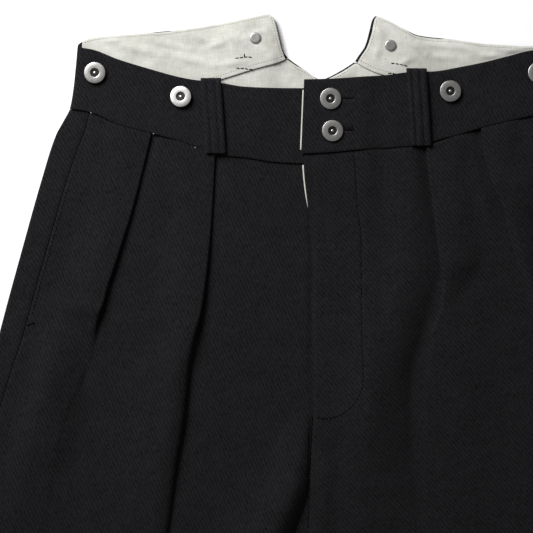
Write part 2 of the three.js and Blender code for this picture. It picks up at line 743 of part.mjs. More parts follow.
function waistband(side) {
  const radius = (frontBandHeight - backBandHeight) / 2;
  const grid = bandAcross.map((across) => {
    const foldOut = bandFold(side, across);
    const turnOut = foldOut - radius - bandWall / 2;
    const endOut = mix(side.bandEnd.foot, side.bandEnd.top, across);
    const row = [];
    for (let i = 0; i < frontBandSteps; i += 1) {
      const out = mix(endOut, turnOut, i / frontBandSteps);
      const step = 0.5;
      const rise = frontBandLevel(side, out + step) - frontBandLevel(side, out - step);
      const level = frontBandLevel(side, out);
      row.push(clothPoint(side, out, frontBandY(side, out, across), level, Math.atan(rise)));
    }
    const pen = startLine(turnOut, frontBandHeight);
    pen.mark();
    pen.turn(-Math.PI, radius, foldSteps);
    const frontEndY = frontBandY(side, turnOut, across);
    const backEndY = backBandPlace(side, 0, across, turnOut, 0).y;
    pen.points.forEach((point, i) => {
      const y = mix(frontEndY, backEndY, i / foldSteps);
      row.push(clothPoint(side, point.out, y, point.height, point.tilt));
    });
    for (const part of backBandParts) {
      const place = backBandPlace(side, part, across, turnOut, 0);
      row.push(clothPoint(side, place.out, place.y, backBandHeight, -Math.PI));
    }
    return row;
  });
  return wall(grid, bandWall);
}

function bandLining(side) {
  const inset = side.sign > 0 ? 1.8 : 1.1;
  const grid = bandAcross.map((across) => {
    const start = bandFold(side, across) - bandWall - 3;
    return [0, ...backBandParts].map((part) => {
      const place = backBandPlace(side, part, across, start, inset);
      return clothPoint(side, place.out, place.y, bandLiningHeight);
    });
  });
  return wall(grid, linenWall);
}

// The left band's end is cut by two buttonholes, each with an eye round its button's shank.
function cutButtonholes(bandGeometry) {
  let solid = asSolid(bandGeometry);
  for (const place of Object.values(flyButtons)) {
    const deep = 40;
    const slot = new THREE.BoxGeometry(buttonhole.to - buttonhole.from, buttonhole.wide, deep);
    slot.translate((buttonhole.from + buttonhole.to) / 2, place.y, 0);
    const eye = new THREE.CylinderGeometry(buttonhole.eye, buttonhole.eye, deep, 12);
    eye.rotateX(Math.PI / 2);
    eye.translate(place.x, place.y, 0);
    for (const cutter of [slot, eye]) {
      cutter.translate(0, 0, frontBandHeight + bandOverlapLift);
      solid = solid.subtract(asSolid(cutter));
    }
  }
  return fromSolid(solid);
}

// Fly

// A strip at the fly between two lines, given as X by height, with its own height off the surface.
function flyStrip(heights, nearAt, farAt, levelAt, thickness) {
  const grid = heights.map((y) => [0, 0.5, 1].map((part) => {
    return clothPoint(sides.left, mix(nearAt(y), farAt(y), part), y, levelAt(y));
  }));
  return wall(grid, thickness);
}

function flyShield() {
  const thick = 1.8;
  const heights = [-68, -90, -120, -160, -200, -232, -248, -258];
  const level = (y) => frontBase(sides.right, 0, y, []);
  return flyStrip(heights, (y) => shieldInnerAt(y) + seamGap, shieldOuterAt, level, thick);
}

function flyFacing() {
  const heights = [-68, -80, -92, -106, -130, -160, -200, -240, -256];
  const shows = along([{ y: -68, by: 1.3 }, { y: -92, by: 1 }, { y: -108, by: -0.4 },
    { y: -256, by: -0.4 }], "y", "by");
  const wide = 12;
  const inner = (y) => centreFrontAt(y) - shows(y);
  const overFront = woolWall / 2 + seamGap + linenWall / 2 + 0.1;
  const level = (y) => frontBase(sides.right, 0, y, []) + overFront;
  return flyStrip(heights, inner, (y) => centreFrontAt(y) + wide, level, linenWall);
}

function bandEndFacing() {
  const heights = [-8, -24, -42, -56];
  const shows = 1.3;
  const wide = 12;
  const end = (y) => mix(sides.left.bandEnd.top, sides.left.bandEnd.foot, clamp(-y / 58));
  const level = () => frontBandHeight + bandWall / 2 + seamGap + linenWall / 2;
  return flyStrip(heights, (y) => end(y) - shows, (y) => end(y) + wide, level, linenWall);
}

// Belt loops

// Across a loop: its rounded edges, two stitched hollows and the folded cloth between them.
const loopProfile = [
  { part: -1, height: -0.25 },
  { part: -0.72, height: 0.1 },
  { part: -0.4, height: -0.12 },
  { part: 0, height: 0.12 },
  { part: 0.4, height: -0.12 },
  { part: 0.72, height: 0.1 },
  { part: 1, height: -0.25 },
];

function frontLoop(side, place) {
  const surface = bandWall / 2 + seamGap + loopThick / 2 + 0.3;
  const stations = [
    { down: -0.036, lift: -2.4 },
    { down: -0.032, lift: -0.9 },
    { down: 0, lift: 0.1 },
    { down: 0.12, lift: 0.3 },
    { down: 0.35, lift: 0.8 },
    { down: 0.65, lift: 0.9 },
    { down: 0.88, lift: 0.4 },
    { down: 0.995, lift: 0 },
  ];
  const grid = stations.map((station) => loopProfile.map((profile) => {
    const middle = mix(place.topOut, place.footOut, clamp(station.down));
    const out = middle + (profile.part * loopWidth) / 2;
    const y = mix(side.frontTop(middle), side.frontSeam(middle), station.down);
    const height = frontBandHeight + surface + station.lift + profile.height;
    const point = clothPoint(side, out, y, height);
    const wrap = (Math.PI / 2) * ease((0.02 - station.down) / 0.04);
    return { ...point, ny: Math.sin(wrap), nz: Math.cos(wrap) };
  }));
  return wall(grid, loopThick);
}

// A back loop lies under the back, flat on the surface.
function underLoop(side) {
  const stations = [0, 0.5, 1];
  const grid = stations.map((part) => [-1, 1].map((edge) => ({
    x: side.sign * (backLoop.out + (edge * loopWidth) / 2),
    y: mix(backLoop.topY, backLoop.footY, part),
    z: loopThick / 2,
    nx: 0,
    ny: 0,
    nz: 1,
  })));
  return wall(grid, loopThick);
}

// Buttons

const roundSegments = 14;

function turned(profile) {
  const points = profile.map(([radius, height]) => new THREE.Vector2(radius, height));
  const geometry = new THREE.LatheGeometry(points, roundSegments);
  geometry.rotateX(Math.PI / 2);
  return geometry;
}

// A tack button: a ring-shaped head with a flat face round a recess, on a short shank.
function tackButton(shankLength, shankRadius) {
  const under = shankLength;
  const face = shankLength + button.flange;
  return turned([
    [0, 0],
    [shankRadius, 0],
    [shankRadius, under + 0.1],
    [button.radius - 0.7, under],
    [button.radius, under + 0.6],
    [button.radius - 0.4, face - 0.3],
    [button.radius - 1.1, face],
    [3.9, face],
    [3.1, face - 0.4],
    [2.9, face - 1.2],
    [1.4, face - 1.2],
    [1, face - 0.6],
    [0, face - 0.5],
  ]);
}

function tackCap() {
  return turned([
    [0, 0],
    [cap.radius, 0],
    [cap.radius, 0.5],
    [cap.radius - 0.6, cap.height - 0.2],
    [cap.radius - 1.6, cap.height],
    [0, cap.height],
  ]);
}

// Assembly

const trousers = new THREE.Group();
const finishOf = (name) => new THREE.MeshStandardMaterial({ ...finishes[name], name });

function add(name, geometry, finish, x = 0, y = 0, z = 0) {
  const mesh = new THREE.Mesh(geometry, finishOf(finish));
  mesh.name = name;
  mesh.position.set(x, y, z);
  trousers.add(mesh);
  return mesh;
}

for (const [name, side] of Object.entries(sides)) {
  const band = waistband(side);
  add(`waistband_${name}`, name === "left" ? cutButtonholes(band) : band, "wool");
  add(`waistband_lining_${name}`, bandLining(side), "linen");
  add(`seat_lining_${name}`, seatLining(side), "linen");
  add(`front_${name}`, frontPanel(side), "wool");
  add(`back_${name}`, backPanel(side), "wool");
  add(`belt_loop_front_${name}`, frontLoop(side, frontLoops[name]), "wool");
  add(`belt_loop_back_${name}`, underLoop(side), "wool");
}
add("fly_shield", flyShield(), "wool");
add("fly_facing", flyFacing(), "linen");
add("waistband_end_facing", bandEndFacing(), "linen");

const bandFace = frontBandHeight + bandWall / 2;
const shortShank = button.height - button.flange;
for (const [name, place] of Object.entries(braceButtons)) {
  const seat = bandFace + seamGap;
  add(`button_brace_${name}`, tackButton(shortShank, button.shank), "metal", place.x, place.y, seat);
}
for (const [name, place] of Object.entries(flyButtons)) {
  const shankLength = bandOverlapLift + 0.3;
  const seat = bandFace + seamGap;
  add(`button_fly_${name}`, tackButton(shankLength, button.flyShank), "metal", place.x, place.y, seat);
}
for (const [name, place] of Object.entries(backButtons)) {
  const under = add(`button_back_${name}`, tackButton(shortShank, button.shank), "metal");
  under.rotation.x = Math.PI;
  under.position.set(place.x, place.y, button.height);
  const liningFace = bandLiningHeight + linenWall / 2 + buttonPress.lift + seamGap;
  add(`tack_cap_${name}`, tackCap(), "metal", place.x, place.y, liningFace);
}

// The origin lies on the surface, under the middle of the garment's box.
const box = new THREE.Box3().setFromObject(trousers);
const middle = box.getCenter(new THREE.Vector3());
trousers.position.set(-middle.x, -middle.y, -box.min.z);

export default trousers;
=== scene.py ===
import bisect
import math

import bmesh
import bpy
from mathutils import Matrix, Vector, noise


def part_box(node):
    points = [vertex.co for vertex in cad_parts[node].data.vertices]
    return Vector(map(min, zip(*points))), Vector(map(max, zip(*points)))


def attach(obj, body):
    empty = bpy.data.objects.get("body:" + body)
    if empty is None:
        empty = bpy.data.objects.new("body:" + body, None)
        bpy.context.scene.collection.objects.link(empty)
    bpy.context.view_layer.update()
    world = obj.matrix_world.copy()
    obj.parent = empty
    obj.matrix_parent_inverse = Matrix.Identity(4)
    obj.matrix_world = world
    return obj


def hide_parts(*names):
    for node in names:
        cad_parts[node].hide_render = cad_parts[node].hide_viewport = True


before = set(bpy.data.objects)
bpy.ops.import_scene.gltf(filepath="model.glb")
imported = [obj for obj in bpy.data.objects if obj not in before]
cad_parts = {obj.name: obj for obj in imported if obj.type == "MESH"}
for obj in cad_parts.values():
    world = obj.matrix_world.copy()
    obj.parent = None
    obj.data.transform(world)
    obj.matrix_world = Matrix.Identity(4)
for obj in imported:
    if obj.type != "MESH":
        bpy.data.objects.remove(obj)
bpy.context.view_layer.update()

# Black wool work trousers laid flat on their back, with a linen-lined fishtail waist.
# Garment sizes are in millimetres from the top of the waistband at the fly: x to the wearer's
# left, y towards the waist, z up off the floor. "out" is a distance from the centre line.
mm = 0.001
flyButton = {"x": 6.4, "y": -15.2}
buttonLow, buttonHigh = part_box("button_fly_upper")
originX = (buttonLow[0] + buttonHigh[0]) / 2 - flyButton["x"] * mm
originY = (buttonLow[1] + buttonHigh[1]) / 2 - flyButton["y"] * mm


def mix(a, b, part):
    return a + (b - a) * part


def clamp(value, low=0.0, high=1.0):
    return min(high, max(low, value))


def ease(value):
    value = clamp(value)
    return value * value * (3 - 2 * value)


def steps(start, end, count):  # evenly spaced, without the end
    return [mix(start, end, i / count) for i in range(count)]


def rows(columns, *values):  # a table with named columns
    return [dict(zip(columns.split(), row)) for row in values]


def along(table, key, column):  # smooth line through a table's rows that never swings past them
    table = sorted(table, key=lambda row: row[key])
    at = [row[key] for row in table]
    value = [row[column] for row in table]
    rate = [(value[i + 1] - value[i]) / (at[i + 1] - at[i]) for i in range(len(at) - 1)]
    slope = [rate[0]]
    for before, after in zip(rate, rate[1:]):
        slope.append(2 * before * after / (before + after) if before * after > 0 else 0)
    slope.append(rate[-1])

    def read(place):
        if place <= at[0]:
            return value[0]
        if place >= at[-1]:
            return value[-1]
        i = bisect.bisect_right(at, place) - 1
        span = at[i + 1] - at[i]
        t = (place - at[i]) / span
        rise = value[i] * (2 * t ** 3 - 3 * t ** 2 + 1) + value[i + 1] * (3 * t ** 2 - 2 * t ** 3)
        bend = slope[i] * (t ** 3 - 2 * t ** 2 + t) + slope[i + 1] * (t ** 3 - t ** 2)
        return rise + bend * span

    return read


# The cloths, and the heights of the middle of each layer
cloth = {"wool": 1.4, "band": 2.8, "linen": 1.0, "loop": 1.8, "seamGap": 0.3, "bandSeamGap": 0.1}
layer = {
    "back": 0.7, "backBand": 1.4, "bandLining": 3.6, "seatLining": 2.2, "frontBand": 6.5,
    "side": 5.0, "inseam": 4.4, "pleatFloor": 3.4, "lowFloor": 3.05, "frontRise": 1.9,
}
length = {"crotch": -385, "hem": -1040, "level": -400, "flyEnd": -270, "crotchShift": 11.5}

sideFold = rows(
    "y outer strip leftInset",
    (34, 192, 16, 4), (28, 195.5, 16, 4), (12, 197.2, 16, 4), (-5, 199, 16, 4), (-22, 202, 16, 4),
    (-32, 207, 19, 4), (-44, 213.5, 22, 4), (-80, 225, 20.5, 4.5), (-128, 238.5, 19.8, 5.5),
    (-200, 258, 19.4, 8), (-230, 265.3, 17, 9.5), (-260, 272.3, 14.6, 11), (-310, 283.6, 12.4, 13),
    (-385, 299, 11, 16), (-450, 303, 10, 18), (-650, 293, 10, 20), (-850, 281, 10, 22),
    (-1040, 272, 10, 23),
)
centreFront = rows(
    "y x", (-50, -15), (-68, -14.8), (-104, -11.2), (-129, -8.8), (-150, -6.8), (-181, -7.8),
    (-229, -6.6), (-250, -5.6), (-270, -7.2), (-320, -9.6), (-385, -11.5),
)
inseam = rows(
    "y apart", (-385, 0), (-395, 1.2), (-425, 8), (-460, 14), (-540, 22), (-650, 30), (-850, 38),
    (-1040, 44),
)
shield = rows(
    "y inner outer", (-40, 4, 30), (-225, 4, 30), (-248, 3, 24), (-262, -1, 12), (-270, -7.2, 4),
)
overlapLift = rows("y lift", (0, 4.2), (-62, 4.2), (-110, 3.1), (-262, 3.1), (-296, 0))
bandOverlap = {"lift": 4.4, "start": 29, "over": 20}

# A pleat's rows give its folded edge, the cloth folded under, its turn in degrees and its radius
pleatColumns = "y edge depth turn radius"
rightSide = {
    "name": "right", "sign": -1, "bandEnd": {"top": -25, "foot": -25},
    "frontBand": rows(
        "out top seam", (-25, -6.4, -67), (15, -6.4, -67), (38, -6.3, -65.8), (62, -5.4, -62.2),
        (76, -3.2, -61), (90, -1, -57.8), (102, 0.2, -53.2), (114, 2.4, -48.8), (136, 8.4, -42.8),
        (163, 16.6, -35.6), (185, 24.8, -26), (202, 27, -23),
    ),
    "backBand": rows(
        "out top seam", (28, 53, 18.4), (36, 53, 14.9), (42, 53, 13.2), (56, 50.4, 9.4),
        (82, 45.6, 1.4), (110, 41.2, -6), (150, 37.6, -15), (180, 35, -20), (190, 32.6, -21.6),
        (202, 25, -23),
    ),
    "notch": rows("rise out", (0, 27.6), (0.2, 31.4), (0.45, 33.8), (0.76, 36.6), (0.94, 38.8), (1, 42)),
    "seatEdge": rows("out y", (0, 0.8), (4, 1.8), (12, 7.6), (20, 13), (27.6, 18.4)),
    "pleats": [
        rows(
            pleatColumns, (-61, 85.4, 20, 180, 0.9), (-101, 87.4, 16, 180, 0.9),
            (-140, 90.4, 10, 180, 1.3), (-174, 94, 6, 174, 1.6), (-192, 96, 3, 150, 1.8),
            (-210, 98.8, 1, 110, 2.2), (-232, 103.2, 0.6, 80, 2.3), (-272, 107.3, 0.6, 70, 2.5),
            (-312, 114.2, 0.6, 60, 2.7), (-348, 119.3, 0.6, 48, 3), (-400, 127, 0.6, 32, 5),
            (-500, 134, 0.6, 16, 12), (-700, 142, 1, 7, 22),
            (-1040, 150, 1, 7, 22),
        ),
        rows(
            pleatColumns, (-44, 136.4, 17, 180, 0.9), (-72, 143.2, 14, 180, 0.9),
            (-104, 151.5, 11, 180, 1.1), (-140, 162.6, 6, 180, 1.5), (-177, 173.6, 2.5, 176, 1.8),
            (-194, 176, 0.8, 104, 2.1), (-207, 178, 0.6, 40, 5), (-226, 184, 0.6, 12, 14),
            (-280, 206, 0.8, 7, 22), (-450, 228, 1, 7, 22), (-1040, 222, 1, 7, 22),
        ),
    ],
}
leftSide = {
    "name": "left", "sign": 1, "bandEnd": {"top": -14.4, "foot": -16.8},
    "frontBand": rows(
        "out top seam", (-25, 0, -59.8), (6, 0.8, -58.2), (31, 2.4, -56), (53, 4, -54.6),
        (68, 6, -53.4), (82, 6.6, -53), (90, 7, -49.4), (110, 10.4, -43.7), (129, 14.2, -38),
        (149, 19.2, -33), (169, 24, -28.6), (198, 26, -23),
    ),
    "backBand": rows(
        "out top seam", (27, 51.8, 15.6), (36, 51.8, 10.4), (42, 51.8, 7.6), (50, 49.4, 5),
        (66, 41, 1.2), (78, 36, -2), (104, 33.2, -8.4), (130, 29.6, -13.4), (162, 27.8, -18.6),
        (186, 27.4, -21.6), (198, 24, -23),
    ),
    "notch": rows("rise out", (0, 26.8), (0.16, 29.6), (0.4, 34.6), (0.7, 38), (0.94, 40.6), (1, 43)),
    "seatEdge": rows("out y", (0, 0.8), (4, 2.2), (13, 6.8), (21, 11.6), (26.8, 15.6)),
    "pleats": [
        rows(
            pleatColumns, (-53, 83, 18, 180, 0.9), (-83, 86.4, 12, 180, 1.1),
            (-119, 91, 7, 180, 1.3), (-144, 93.6, 3, 165, 1.4), (-165, 95, 0.8, 100, 1.5),
            (-184, 93, 0.6, 44, 2.6), (-204, 86, 0.6, 18, 8), (-266, 80, 0.6, 9, 20),
            (-320, 80, 0.8, 7, 22), (-420, 84, 0.8, 7, 22), (-700, 118, 1, 7, 22),
            (-1040, 130, 1, 7, 22),
        ),
        rows(
            pleatColumns, (-38, 127.2, 15, 180, 0.9), (-58, 129.4, 9, 180, 1),
            (-78, 134.4, 4, 174, 1.3), (-99, 141, 1, 135, 1.8), (-118, 147, 0.6, 92, 2.4),
            (-150, 156, 0.6, 58, 4), (-200, 170, 0.8, 34, 8), (-300, 190, 1, 10, 16),
            (-1040, 205, 1, 7, 22),
        ),
    ],
}
bothSides = [rightSide, leftSide]

outerAt = along(sideFold, "y", "outer")
stripAt = along(sideFold, "y", "strip")
leftInsetAt = along(sideFold, "y", "leftInset")
centreFrontAt = along(centreFront, "y", "x")
apartAt = along(inseam, "y", "apart")
shieldInnerAt = along(shield, "y", "inner")
shieldOuterAt = along(shield, "y", "outer")
overlapLiftAt = along(overlapLift, "y", "lift")

for side in bothSides:
    side["frontTop"] = along(side["frontBand"], "out", "top")
    side["frontSeam"] = along(side["frontBand"], "out", "seam")
    side["backTop"] = along(side["backBand"], "out", "top")
    side["backSeam"] = along(side["backBand"], "out", "seam")
    side["notchAt"] = along(side["notch"], "rise", "out")
    side["seatEdgeAt"] = along(side["seatEdge"], "out", "y")
    side["pleatLines"] = [
        {column: along(pleat, "y", column) for column in ("edge", "depth", "turn", "radius")}
        for pleat in side["pleats"]
    ]


def sideOuter(side, y):  # the folded side edge
    return outerAt(y) - (leftInsetAt(y) if side["sign"] > 0 else 0)


def sideSeam(side, y):
    return sideOuter(side, y) - stripAt(y)


def innerEdge(side, y, centreX):  # centre line above the crotch, inner leg edge below it
    half = cloth["seamGap"] / 2
    if y > length["crotch"]:
        return side["sign"] * centreX + half
    return -side["sign"] * length["crotchShift"] + half + apartAt(y)


# What lies under the back presses the layers above it up
backButtons = {"right": {"x": -53.3, "y": 33.6}, "left": {"x": 54.8, "y": 27.7}}
backLoop = {"out": 62, "top": 18, "foot": -42, "width": 16.5}
buttonPress = {"lift": 3.7, "reach": 9.5, "fade": 27}
loopPress = {"lift": 2.1, "reach": 9.25, "fade": 30}


def pressedUp(x, y):
    place = backButtons["right" if x < 0 else "left"]
    fromButton = math.hypot(x - place["x"], y - place["y"])
    overButton = 1 - ease((fromButton - buttonPress["reach"]) / buttonPress["fade"])
    pastSide = max(abs(abs(x) - backLoop["out"]) - loopPress["reach"], 0)
    middle = (backLoop["top"] + backLoop["foot"]) / 2
    half = (backLoop["top"] - backLoop["foot"]) / 2 + 1
    pastEnd = max(abs(y - middle) - half, 0)
    overLoop = 1 - ease(math.hypot(pastSide, pastEnd) / loopPress["fade"])
    return buttonPress["lift"] * overButton + (1 - overButton) * loopPress["lift"] * overLoop


def clothPoint(side, out, y, height, tilt=0.0):
    x = side["sign"] * out
    return (x, y, height + pressedUp(x, y), -side["sign"] * math.sin(tilt), 0.0, math.cos(tilt))


def uneven(x, y, size, seed):  # slow, smooth unevenness of hand-laid cloth, from -1 to 1
    return noise.noise(Vector((x / size, y / size, seed)))


def creaseHeight(x, y, creases):  # ridges and troughs, each from one place to another
    height = 0
    for crease in creases:
        dx = crease["x1"] - crease["x0"]
        dy = crease["y1"] - crease["y0"]
        run = math.hypot(dx, dy)
        across = abs((x - crease["x0"]) * dy - (y - crease["y0"]) * dx) / run
        if across > 3 * crease["width"]:
            continue
        part = ((x - crease["x0"]) * dx + (y - crease["y0"]) * dy) / run ** 2
        past = max(-part, part - 1, 0) * run
        fade = math.sin(math.pi * clamp(part, 0.12, 0.88))
        height += crease["height"] * fade * math.exp(-(across ** 2 + past ** 2) / crease["width"] ** 2)
    return height


# Cloth shells

# How steeply the ribs fall to the right, in degrees
twill = {"usual": 57, "right": 65, "left": 49}
rim = [{"in": 0.0, "thick": 0.42}, {"in": 0.12, "thick": 0.7}, {"in": 0.45, "thick": 0.95}]


def roundedRim(line, half):  # extra points near both ends of a line of cloth, thinner at the end
    def inset(first, second, depth):
        gap = math.dist(first[:3], second[:3])
        part = min(depth / gap, 0.3) if gap > 0 else 0
        return tuple(mix(a, b, part) for a, b in zip(first, second))

    head = [(inset(line[0], line[1], step["in"] * half), step["thick"]) for step in rim]
    tail = [(inset(line[-1], line[-2], step["in"] * half), step["thick"]) for step in rim]
    return head + [(point, 1.0) for point in line[1:-1]] + tail[::-1]


def shellGrid(grid, half):  # rounds all four edges
    across = [roundedRim(row, half) for row in grid]
    columns = [roundedRim([cell[0] for cell in column], half) for column in zip(*across)]
    thickAcross = [cell[1] for cell in across[0]]
    rowCount = len(columns[0])
    result = []
    for r in range(rowCount):
        line = []
        for c, column in enumerate(columns):
            point, thick = column[r]
            line.append((point, min(thick, thickAcross[c])))
        result.append(line)
    return result


def toFrame(x, y, z):
    return (originX + x * mm, originY + y * mm, z * mm)


def newPiece(name, points, faces, material, coordinates=None):
    volume = 0
    for face in faces:
        a, b, c = (Vector(points[face[i]]) for i in (0, 1, 2))
        volume += a.dot(b.cross(c))
        if len(face) == 4:
            d = Vector(points[face[3]])
            volume += a.dot(c.cross(d))
    if volume < 0:
        faces = [face[::-1] for face in faces]
    mesh = bpy.data.meshes.new(name)
    mesh.from_pydata([toFrame(*point) for point in points], [], faces)
    if coordinates:
        weave = mesh.uv_layers.new(name="weave")
        flat = []
        for loop in mesh.loops:
            flat.extend(coordinates[loop.vertex_index])
        weave.data.foreach_set("uv", flat)
    mesh.shade_smooth()
    mesh.materials.append(material)
    piece = bpy.data.objects.new(name, mesh)
    bpy.context.scene.collection.objects.link(piece)
    return piece


def clothSize(grid):  # the cut: widest row, longest column and area, in metres
    def run(line):
        return sum(math.dist(a[:3], b[:3]) for a, b in zip(line, line[1:]))

    area = 0
    for upper, lower in zip(grid, grid[1:]):
        for a, b, c, d in zip(upper, upper[1:], lower[1:], lower):
            first = (Vector(b[:3]) - Vector(a[:3])).cross(Vector(d[:3]) - Vector(a[:3])).length
            second = (Vector(b[:3]) - Vector(c[:3])).cross(Vector(d[:3]) - Vector(c[:3])).length
            area += (first + second) / 2
    width = max(run(row) for row in grid)
    tall = max(run(column) for column in zip(*grid))
    return width * mm, tall * mm, area * mm * mm


def clothShell(name, grid, thickness, material, ribs=twill["usual"], straight=False):
    half = thickness / 2
    cells = shellGrid(grid, half)
    width = len(cells[0])
    across, alongCloth = math.sin(math.radians(ribs)), math.cos(math.radians(ribs))
    points, coordinates = [], []
    for side in (1, -1):
        for line in cells:
            reach = line[0][0][0]
            way = 1 if line[-1][0][0] > line[0][0][0] else -1
            before = line[0][0]
            for point, thick in line:
                reach += way * math.dist(point[:3], before[:3])
                before = point
                offset = side * half * thick
                points.append(tuple(point[i] + point[i + 3] * offset for i in range(3)))
                u, v = (point[0] if straight else reach) * mm, point[1] * mm
                coordinates.append((u * across + v * alongCloth, v * across - u * alongCloth))
    count = len(cells) * width
    faces = []
    for r in range(len(cells) - 1):
        for c in range(width - 1):
            a, b = r * width + c, (r + 1) * width + c
            faces.append((a, a + 1, b + 1, b))
            faces.append((b + count, b + 1 + count, a + 1 + count, a + count))
    edge = list(range(width - 1))
    edge += [r * width + width - 1 for r in range(len(cells) - 1)]
    edge += [(len(cells) - 1) * width + c for c in range(width - 1, 0, -1)]
    edge += [r * width for r in range(len(cells) - 1, 0, -1)]
    for corner, after in zip(edge, edge[1:] + edge[:1]):
        faces.append((after, corner, corner + count, after + count))
    return newPiece(name, points, faces, material, coordinates)


def dressCloth(piece, grid, node):
    width, tall, area = clothSize(grid)
    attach(piece, "root")
    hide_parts(node)
    print(f"{piece.name}: {width:.3f} x {tall:.3f} m, {area:.4f} square metres")


# Materials

# the darker colour is painted shade in the weave's hollows; the rest of the ramp is random yarn tone
woolFinish = {
    "shadedValley": (0.0016, 0.0016, 0.0019, 1), "rib": (0.0158, 0.0158, 0.0174, 1),
    "ribSpacing": 2.7 * mm, "bump": 0.3, "bumpDepth": 0.3 * mm,
}
woolMix = {"wave": 0.17, "yarn": 0.55, "nap": 0.62, "drift": 0.2, "from": 0.42, "to": 1}
linenMix = {"weave": 0.35, "cloud": 0.6, "from": 0.45, "to": 0.85}
linenFinish = {
    "low": (0.41, 0.407, 0.365, 1), "high": (0.59, 0.585, 0.545, 1), "yarn": 1.1 * mm,
    "bump": 0.3, "bumpDepth": 0.15 * mm,
}
pewterFinish = {"ring": (0.38, 0.375, 0.36, 1), "worn": (0.48, 0.47, 0.455, 1), "roughness": 0.38}
wavePeriod = 2 * math.pi / 20  # the wave texture's own period at a scale of one


def newMaterial(name):
    material = bpy.data.materials.new(name)
    material.use_nodes = True
    nodes = material.node_tree.nodes
    nodes.clear()
    output = nodes.new("ShaderNodeOutputMaterial")
    shader = nodes.new("ShaderNodeBsdfPrincipled")
    material.node_tree.links.new(shader.outputs["BSDF"], output.inputs["Surface"])
    return material, nodes, material.node_tree.links, shader


def setInputs(node, values):
    for name, value in values.items():
        node.inputs[name].default_value = value


def noiseOf(nodes, links, source, scale, detail, stretch=(1, 1, 1)):
    place = nodes.new("ShaderNodeMapping")
    setInputs(place, {"Scale": stretch})
    grain = nodes.new("ShaderNodeTexNoise")
    setInputs(grain, {"Scale": scale, "Detail": detail})
    links.new(source, place.inputs["Vector"])
    links.new(place.outputs["Vector"], grain.inputs["Vector"])
    return grain.outputs["Fac"]


def mathOf(nodes, links, operation, first, second):
    step = nodes.new("ShaderNodeMath")
    step.operation = operation
    for socket, value in zip(step.inputs, (first, second)):
        if isinstance(value, (int, float)):
            socket.default_value = value
        else:
            links.new(value, socket)
    return step.outputs[0]


def weighted(nodes, links, *terms):  # the sum of outputs times their weights
    total = None
    for output, weight in terms:
        term = mathOf(nodes, links, "MULTIPLY", output, weight)
        total = term if total is None else mathOf(nodes, links, "ADD", total, term)
    return total


def colourRamp(nodes, links, source, low, high, start=0.0, end=1.0):
    ramp = nodes.new("ShaderNodeValToRGB")
    ramp.color_ramp.elements[0].position = start
    ramp.color_ramp.elements[0].color = low
    ramp.color_ramp.elements[1].position = end
    ramp.color_ramp.elements[1].color = high
    links.new(source, ramp.inputs["Fac"])
    return ramp.outputs["Color"]


def bumpOf(nodes, links, shader, height, strength, distance):
    bump = nodes.new("ShaderNodeBump")
    setInputs(bump, {"Strength": strength, "Distance": distance})
    links.new(height, bump.inputs["Height"])
    links.new(bump.outputs["Normal"], shader.inputs["Normal"])


def woolTwill():  # diagonal ribs that follow the cut, broken by yarns, under a short nap; the colour is darkest where the weave lies lowest, painted shade in the hollows between ribs over random yarn tone
    material, nodes, links, shader = newMaterial("wool twill")
    weave = nodes.new("ShaderNodeUVMap")
    weave.uv_map = "weave"
    place = nodes.new("ShaderNodeTexCoord").outputs["Object"]
    drift = noiseOf(nodes, links, place, 90, 2)
    wave = nodes.new("ShaderNodeTexWave")
    ribScale = wavePeriod / woolFinish["ribSpacing"]
    setInputs(wave, {"Scale": ribScale, "Distortion": 2.2, "Detail": 2, "Detail Scale": 1.6})
    links.new(weave.outputs["UV"], wave.inputs["Vector"])
    yarn = noiseOf(nodes, links, weave.outputs["UV"], 620, 2, (1, 0.45, 1))
    nap = noiseOf(nodes, links, place, 1500, 2)
    rib = weighted(nodes, links, (wave.outputs["Fac"], woolMix["wave"]), (yarn, woolMix["yarn"]),
                   (nap, woolMix["nap"]))
    shade = mathOf(nodes, links, "ADD", rib, weighted(nodes, links, (drift, woolMix["drift"])))
    # darker where the bump is lower: painted shade in the hollows between ribs, mixed with random yarn and
    # drift tone
    colour = colourRamp(nodes, links, shade, woolFinish["shadedValley"], woolFinish["rib"],
                        woolMix["from"], woolMix["to"])
    links.new(colour, shader.inputs["Base Color"])
    setInputs(shader, {"Roughness": 0.95, "Specular IOR Level": 0.03, "Sheen Weight": 0.008,
                       "Sheen Roughness": 0.6})
    bumpOf(nodes, links, shader, rib, woolFinish["bump"], woolFinish["bumpDepth"])
    return material


def plainLinen():  # plain weave with slubs both ways
    material, nodes, links, shader = newMaterial("plain linen")
    place = nodes.new("ShaderNodeTexCoord").outputs["Object"]
    warp = noiseOf(nodes, links, place, 1 / linenFinish["yarn"], 3, (1, 0.16, 1))
    weft = noiseOf(nodes, links, place, 1 / linenFinish["yarn"], 3, (0.16, 1, 1))
    cloud = noiseOf(nodes, links, place, 60, 3)
    weave = mathOf(nodes, links, "ADD", warp, weft)
    shade = weighted(nodes, links, (weave, linenMix["weave"]), (cloud, linenMix["cloud"]))
    colour = colourRamp(nodes, links, shade, linenFinish["low"], linenFinish["high"],
                        linenMix["from"], linenMix["to"])
    links.new(colour, shader.inputs["Base Color"])
    setInputs(shader, {"Roughness": 0.9, "Specular IOR Level": 0.2})
    bumpOf(nodes, links, shader, weave, linenFinish["bump"], linenFinish["bumpDepth"])
    return material


def satinPewter():
    material, nodes, links, shader = newMaterial("satin pewter")
    place = nodes.new("ShaderNodeTexCoord").outputs["Object"]
    cloud = noiseOf(nodes, links, place, 500, 4)
    links.new(colourRamp(nodes, links, cloud, pewterFinish["ring"], pewterFinish["worn"], 0.35, 0.7),
              shader.inputs["Base Color"])
    setInputs(shader, {"Metallic": 1, "Roughness": pewterFinish["roughness"]})
    bumpOf(nodes, links, shader, noiseOf(nodes, links, place, 2600, 2), 0.12, 0.05 * mm)
    return material
